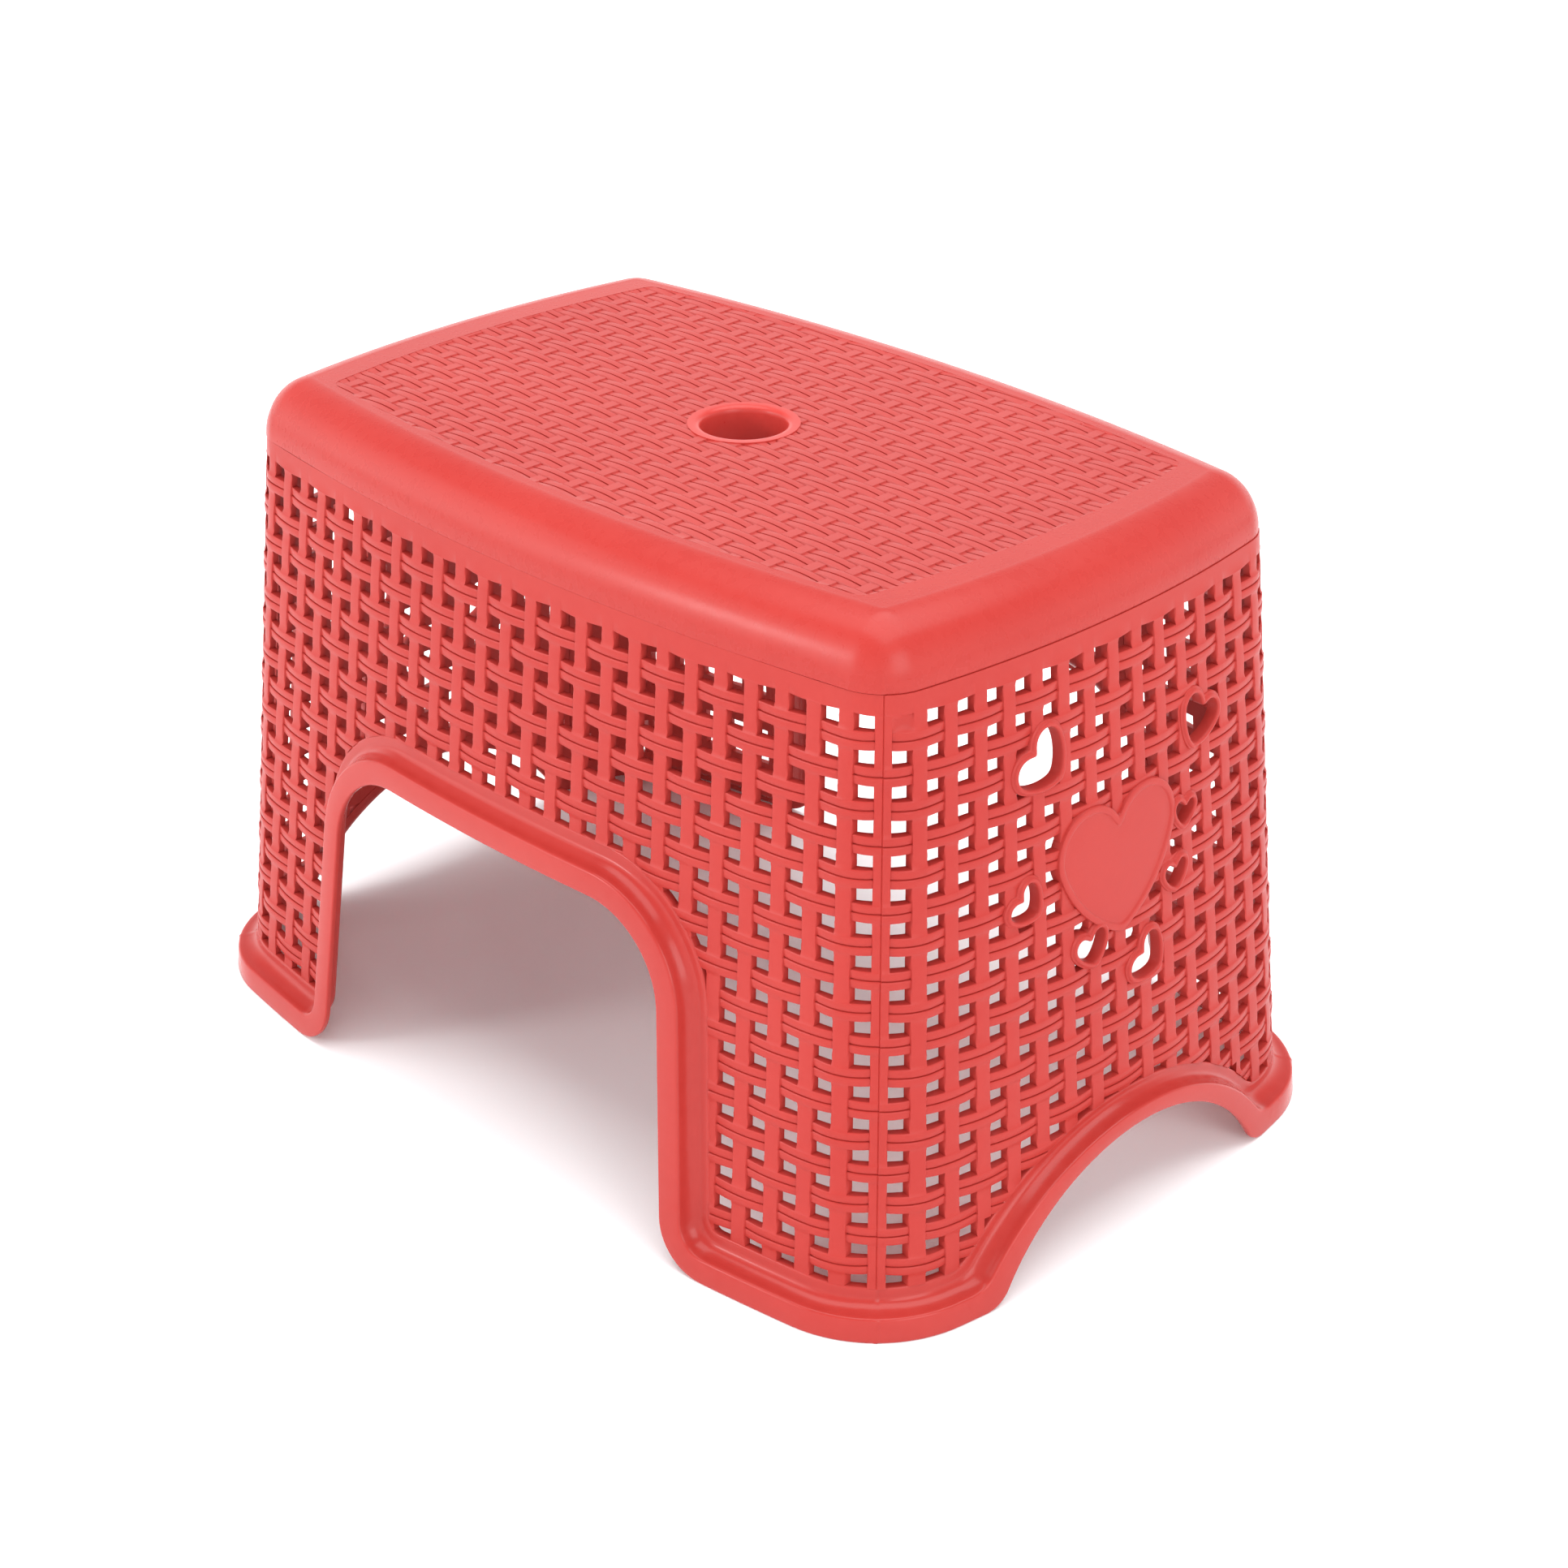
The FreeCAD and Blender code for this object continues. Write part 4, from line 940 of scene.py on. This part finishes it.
def splits():
    """How many strips from its middle each wall passes into its legs, nearest to the CAD pieces' edges."""
    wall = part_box("front_wall")[1].x / MM
    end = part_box("right_wall")[1].y / MM
    long_pick = min(range(1, LONG_MIDDLE), key=lambda k: abs(belt(LONG_MIDDLE + k, ARCH_TOP, 0)[0] - wall))
    end_pick = min(range(1, END_COLS // 2), key=lambda k: abs(belt(END_MIDDLE + k, LOW_TOP, 0)[1] - end))
    return long_pick, end_pick


LONG_SPLIT, END_SPLIT = splits()


def zone(name, edge_curve, axis, low, high):
    """All that lies under one side's lower edge, as a cutter."""
    half = edge_curve(RIM_TOP)
    outline = np.concatenate([half, [(REACH, RIM_TOP), (REACH, BELOW)]])
    outline = np.concatenate([outline, (outline * [-1, 1])[::-1][:-1]])
    return prism(name, outline.tolist(), axis, low, high)


def walls():
    """The eight woven panels round the belt, cut along the lower edge and round the hearts."""
    front_zone = zone("zone_front", long_edge, "Y", -REACH, 0)
    back_zone = zone("zone_back", long_edge, "Y", 0, REACH)
    right_zone = zone("zone_right", end_edge, "X", 0, REACH)
    left_zone = zone("zone_left", end_edge, "X", -REACH, 0)
    loops = hearts(HEARTS)
    near, far = HALF_LENGTH - 60, HALF_LENGTH + 40
    right_hearts = [prism("heart_cut_%d" % i, loop.tolist(), "X", near, far) for i, loop in enumerate(loops)]
    left_hearts = [prism("heart_cut_l%d" % i, (loop * [-1, 1]).tolist(), "X", -far, -near)
                   for i, loop in enumerate(loops)]
    arch_low = ARCH_TOP + RIM_TOP - 2 * ROW
    end_low = LOW_TOP - ROW
    foot = 4.0
    long_a, long_b = LONG_MIDDLE - LONG_SPLIT, LONG_MIDDLE + LONG_SPLIT
    end_a, end_b = END_MIDDLE - END_SPLIT, END_MIDDLE + END_SPLIT
    half, belt_end = HALF_BELT, 2 * HALF_BELT
    jobs = [
        ("front_wall", long_a, long_b, arch_low, [front_zone]),
        ("front_right_leg", long_b, end_a, foot, [front_zone, right_zone]),
        ("right_wall", end_a, end_b, end_low, [right_zone] + right_hearts),
        ("back_right_leg", end_b, half + long_a, foot, [right_zone, back_zone]),
        ("back_wall", half + long_a, half + long_b, arch_low, [back_zone]),
        ("back_left_leg", half + long_b, half + end_a, foot, [back_zone, left_zone]),
        ("left_wall", half + end_a, half + end_b, end_low, [left_zone] + left_hearts),
        ("front_left_leg", half + end_b, belt_end + long_a, foot, [left_zone, front_zone]),
    ]
    for name, first, last, low, cutters in jobs:
        obj = weave_panel(name + "_look", first, last, low, BLIND)
        cut(obj, cutters)
        piece(obj, WEAVE, "weave_plastic", name)
    remove([front_zone, back_zone, right_zone, left_zone] + right_hearts + left_hearts)


walls()
rims(RIM)
shoulder(SMOOTH)
PANEL = rounded_outline(PANEL_LONG_R, PANEL_END_R, PANEL_CORNER)
seat_panel(SEAT, PANEL)
seat_border(SMOOTH, PANEL)
# the collar takes the brighter copy of the tint, a painted glow in the bore
collar(COLLAR_PAINTED_GLOW)
# the ribs under the seat take the darker copy of the tint, painted shade
for name in ("long_ribs", "cross_ribs"):
    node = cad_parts[name]
    if not node.material_slots:
        node.data.materials.append(UNDER_PAINTED_SHADE)
    for slot in node.material_slots:
        slot.material = UNDER_PAINTED_SHADE

# ------------------------------------------------------------- floor, light and camera, in metres
FLOOR_HALF = 9.0
FLOOR_TINT = (0.97, 0.965, 0.97, 1)
# name, place, aimed at, watts, width and height
LIGHTS = [
    ("overhead", (0.0, 0.4, 3.5), (0, 0.2, 0), 190, (4.0, 4.0)),
    ("fill", (-1.7, -2.3, 1.3), (0, 0, 0.1), 32, (3.0, 2.0)),
    ("left_box", (-1.0, -1.95, 0.95), (0, 0, 0.12), 11, (0.55, 0.4)),
    ("right_box", (2.2, -0.5, 1.1), (0, 0, 0.12), 22, (1.3, 1.3)),
]
# the camera, fitted to the photograph by the corners of the weave's windows
AZIMUTH, ELEVATION, DISTANCE = math.radians(45.156), math.radians(27.660), 1.1945
TARGET = np.array([-0.058205, 0.076909, 0.046238])
SENSOR, LENS = 36.0, 69.97       # millimetres


def studio_floor():
    mat = bpy.data.materials.new("studio_floor")
    mat.use_nodes = True
    shader = mat.node_tree.nodes["Principled BSDF"]
    shader.inputs["Base Color"].default_value = FLOOR_TINT
    shader.inputs["Roughness"].default_value = 0.6
    shader.inputs["Specular IOR Level"].default_value = 0.2
    mesh = bpy.data.meshes.new("studio_floor")
    corners = [(x * FLOOR_HALF, y * FLOOR_HALF, 0) for x, y in ((-1, -1), (1, -1), (1, 1), (-1, 1))]
    mesh.from_pydata(corners, [], [(0, 1, 2, 3)])
    floor = bpy.data.objects.new("studio_floor", mesh)
    floor.data.materials.append(mat)
    bpy.context.scene.collection.objects.link(floor)


def aimed(obj, direction):
    """Turns a light or a camera, which look along their own -Z, to the direction."""
    obj.rotation_euler = Vector(direction).to_track_quat("-Z", "Y").to_euler()
    bpy.context.scene.collection.objects.link(obj)


def area(name, at, target, power, size):
    data = bpy.data.lights.new(name, "AREA")
    data.energy = power
    data.shape = "RECTANGLE"
    data.size, data.size_y = size
    lamp = bpy.data.objects.new(name, data)
    lamp.location = at
    aimed(lamp, np.array(target) - np.array(at))


def surroundings():
    """A world that is bright towards the horizon and dimmer overhead."""
    world = bpy.data.worlds.new("studio")
    bpy.context.scene.world = world
    world.use_nodes = True
    tree = world.node_tree
    background = tree.nodes["Background"]
    direction = tree.nodes.new("ShaderNodeTexCoord")
    split = tree.nodes.new("ShaderNodeSeparateXYZ")
    fade = tree.nodes.new("ShaderNodeValToRGB")
    horizon, overhead = fade.color_ramp.elements
    horizon.position, overhead.position = 0.12, 0.6
    horizon.color = (1.0, 1.0, 1.0, 1)
    overhead.color = (0.2, 0.2, 0.21, 1)
    tree.links.new(direction.outputs["Generated"], split.inputs[0])
    tree.links.new(split.outputs[2], fade.inputs[0])
    tree.links.new(fade.outputs[0], background.inputs[0])
    background.inputs[1].default_value = 1.8


def photo_camera():
    data = bpy.data.cameras.new("camera")
    data.sensor_width = SENSOR
    data.lens = LENS
    camera = bpy.data.objects.new("camera", data)
    level = math.cos(ELEVATION)
    toward = np.array([math.sin(AZIMUTH) * level, -math.cos(AZIMUTH) * level, math.sin(ELEVATION)])
    camera.location = TARGET + toward * DISTANCE
    aimed(camera, -toward)
    bpy.context.scene.camera = camera


studio_floor()
for light in LIGHTS:
    area(*light)
surroundings()
photo_camera()
bpy.context.scene.view_settings.view_transform = "Standard"
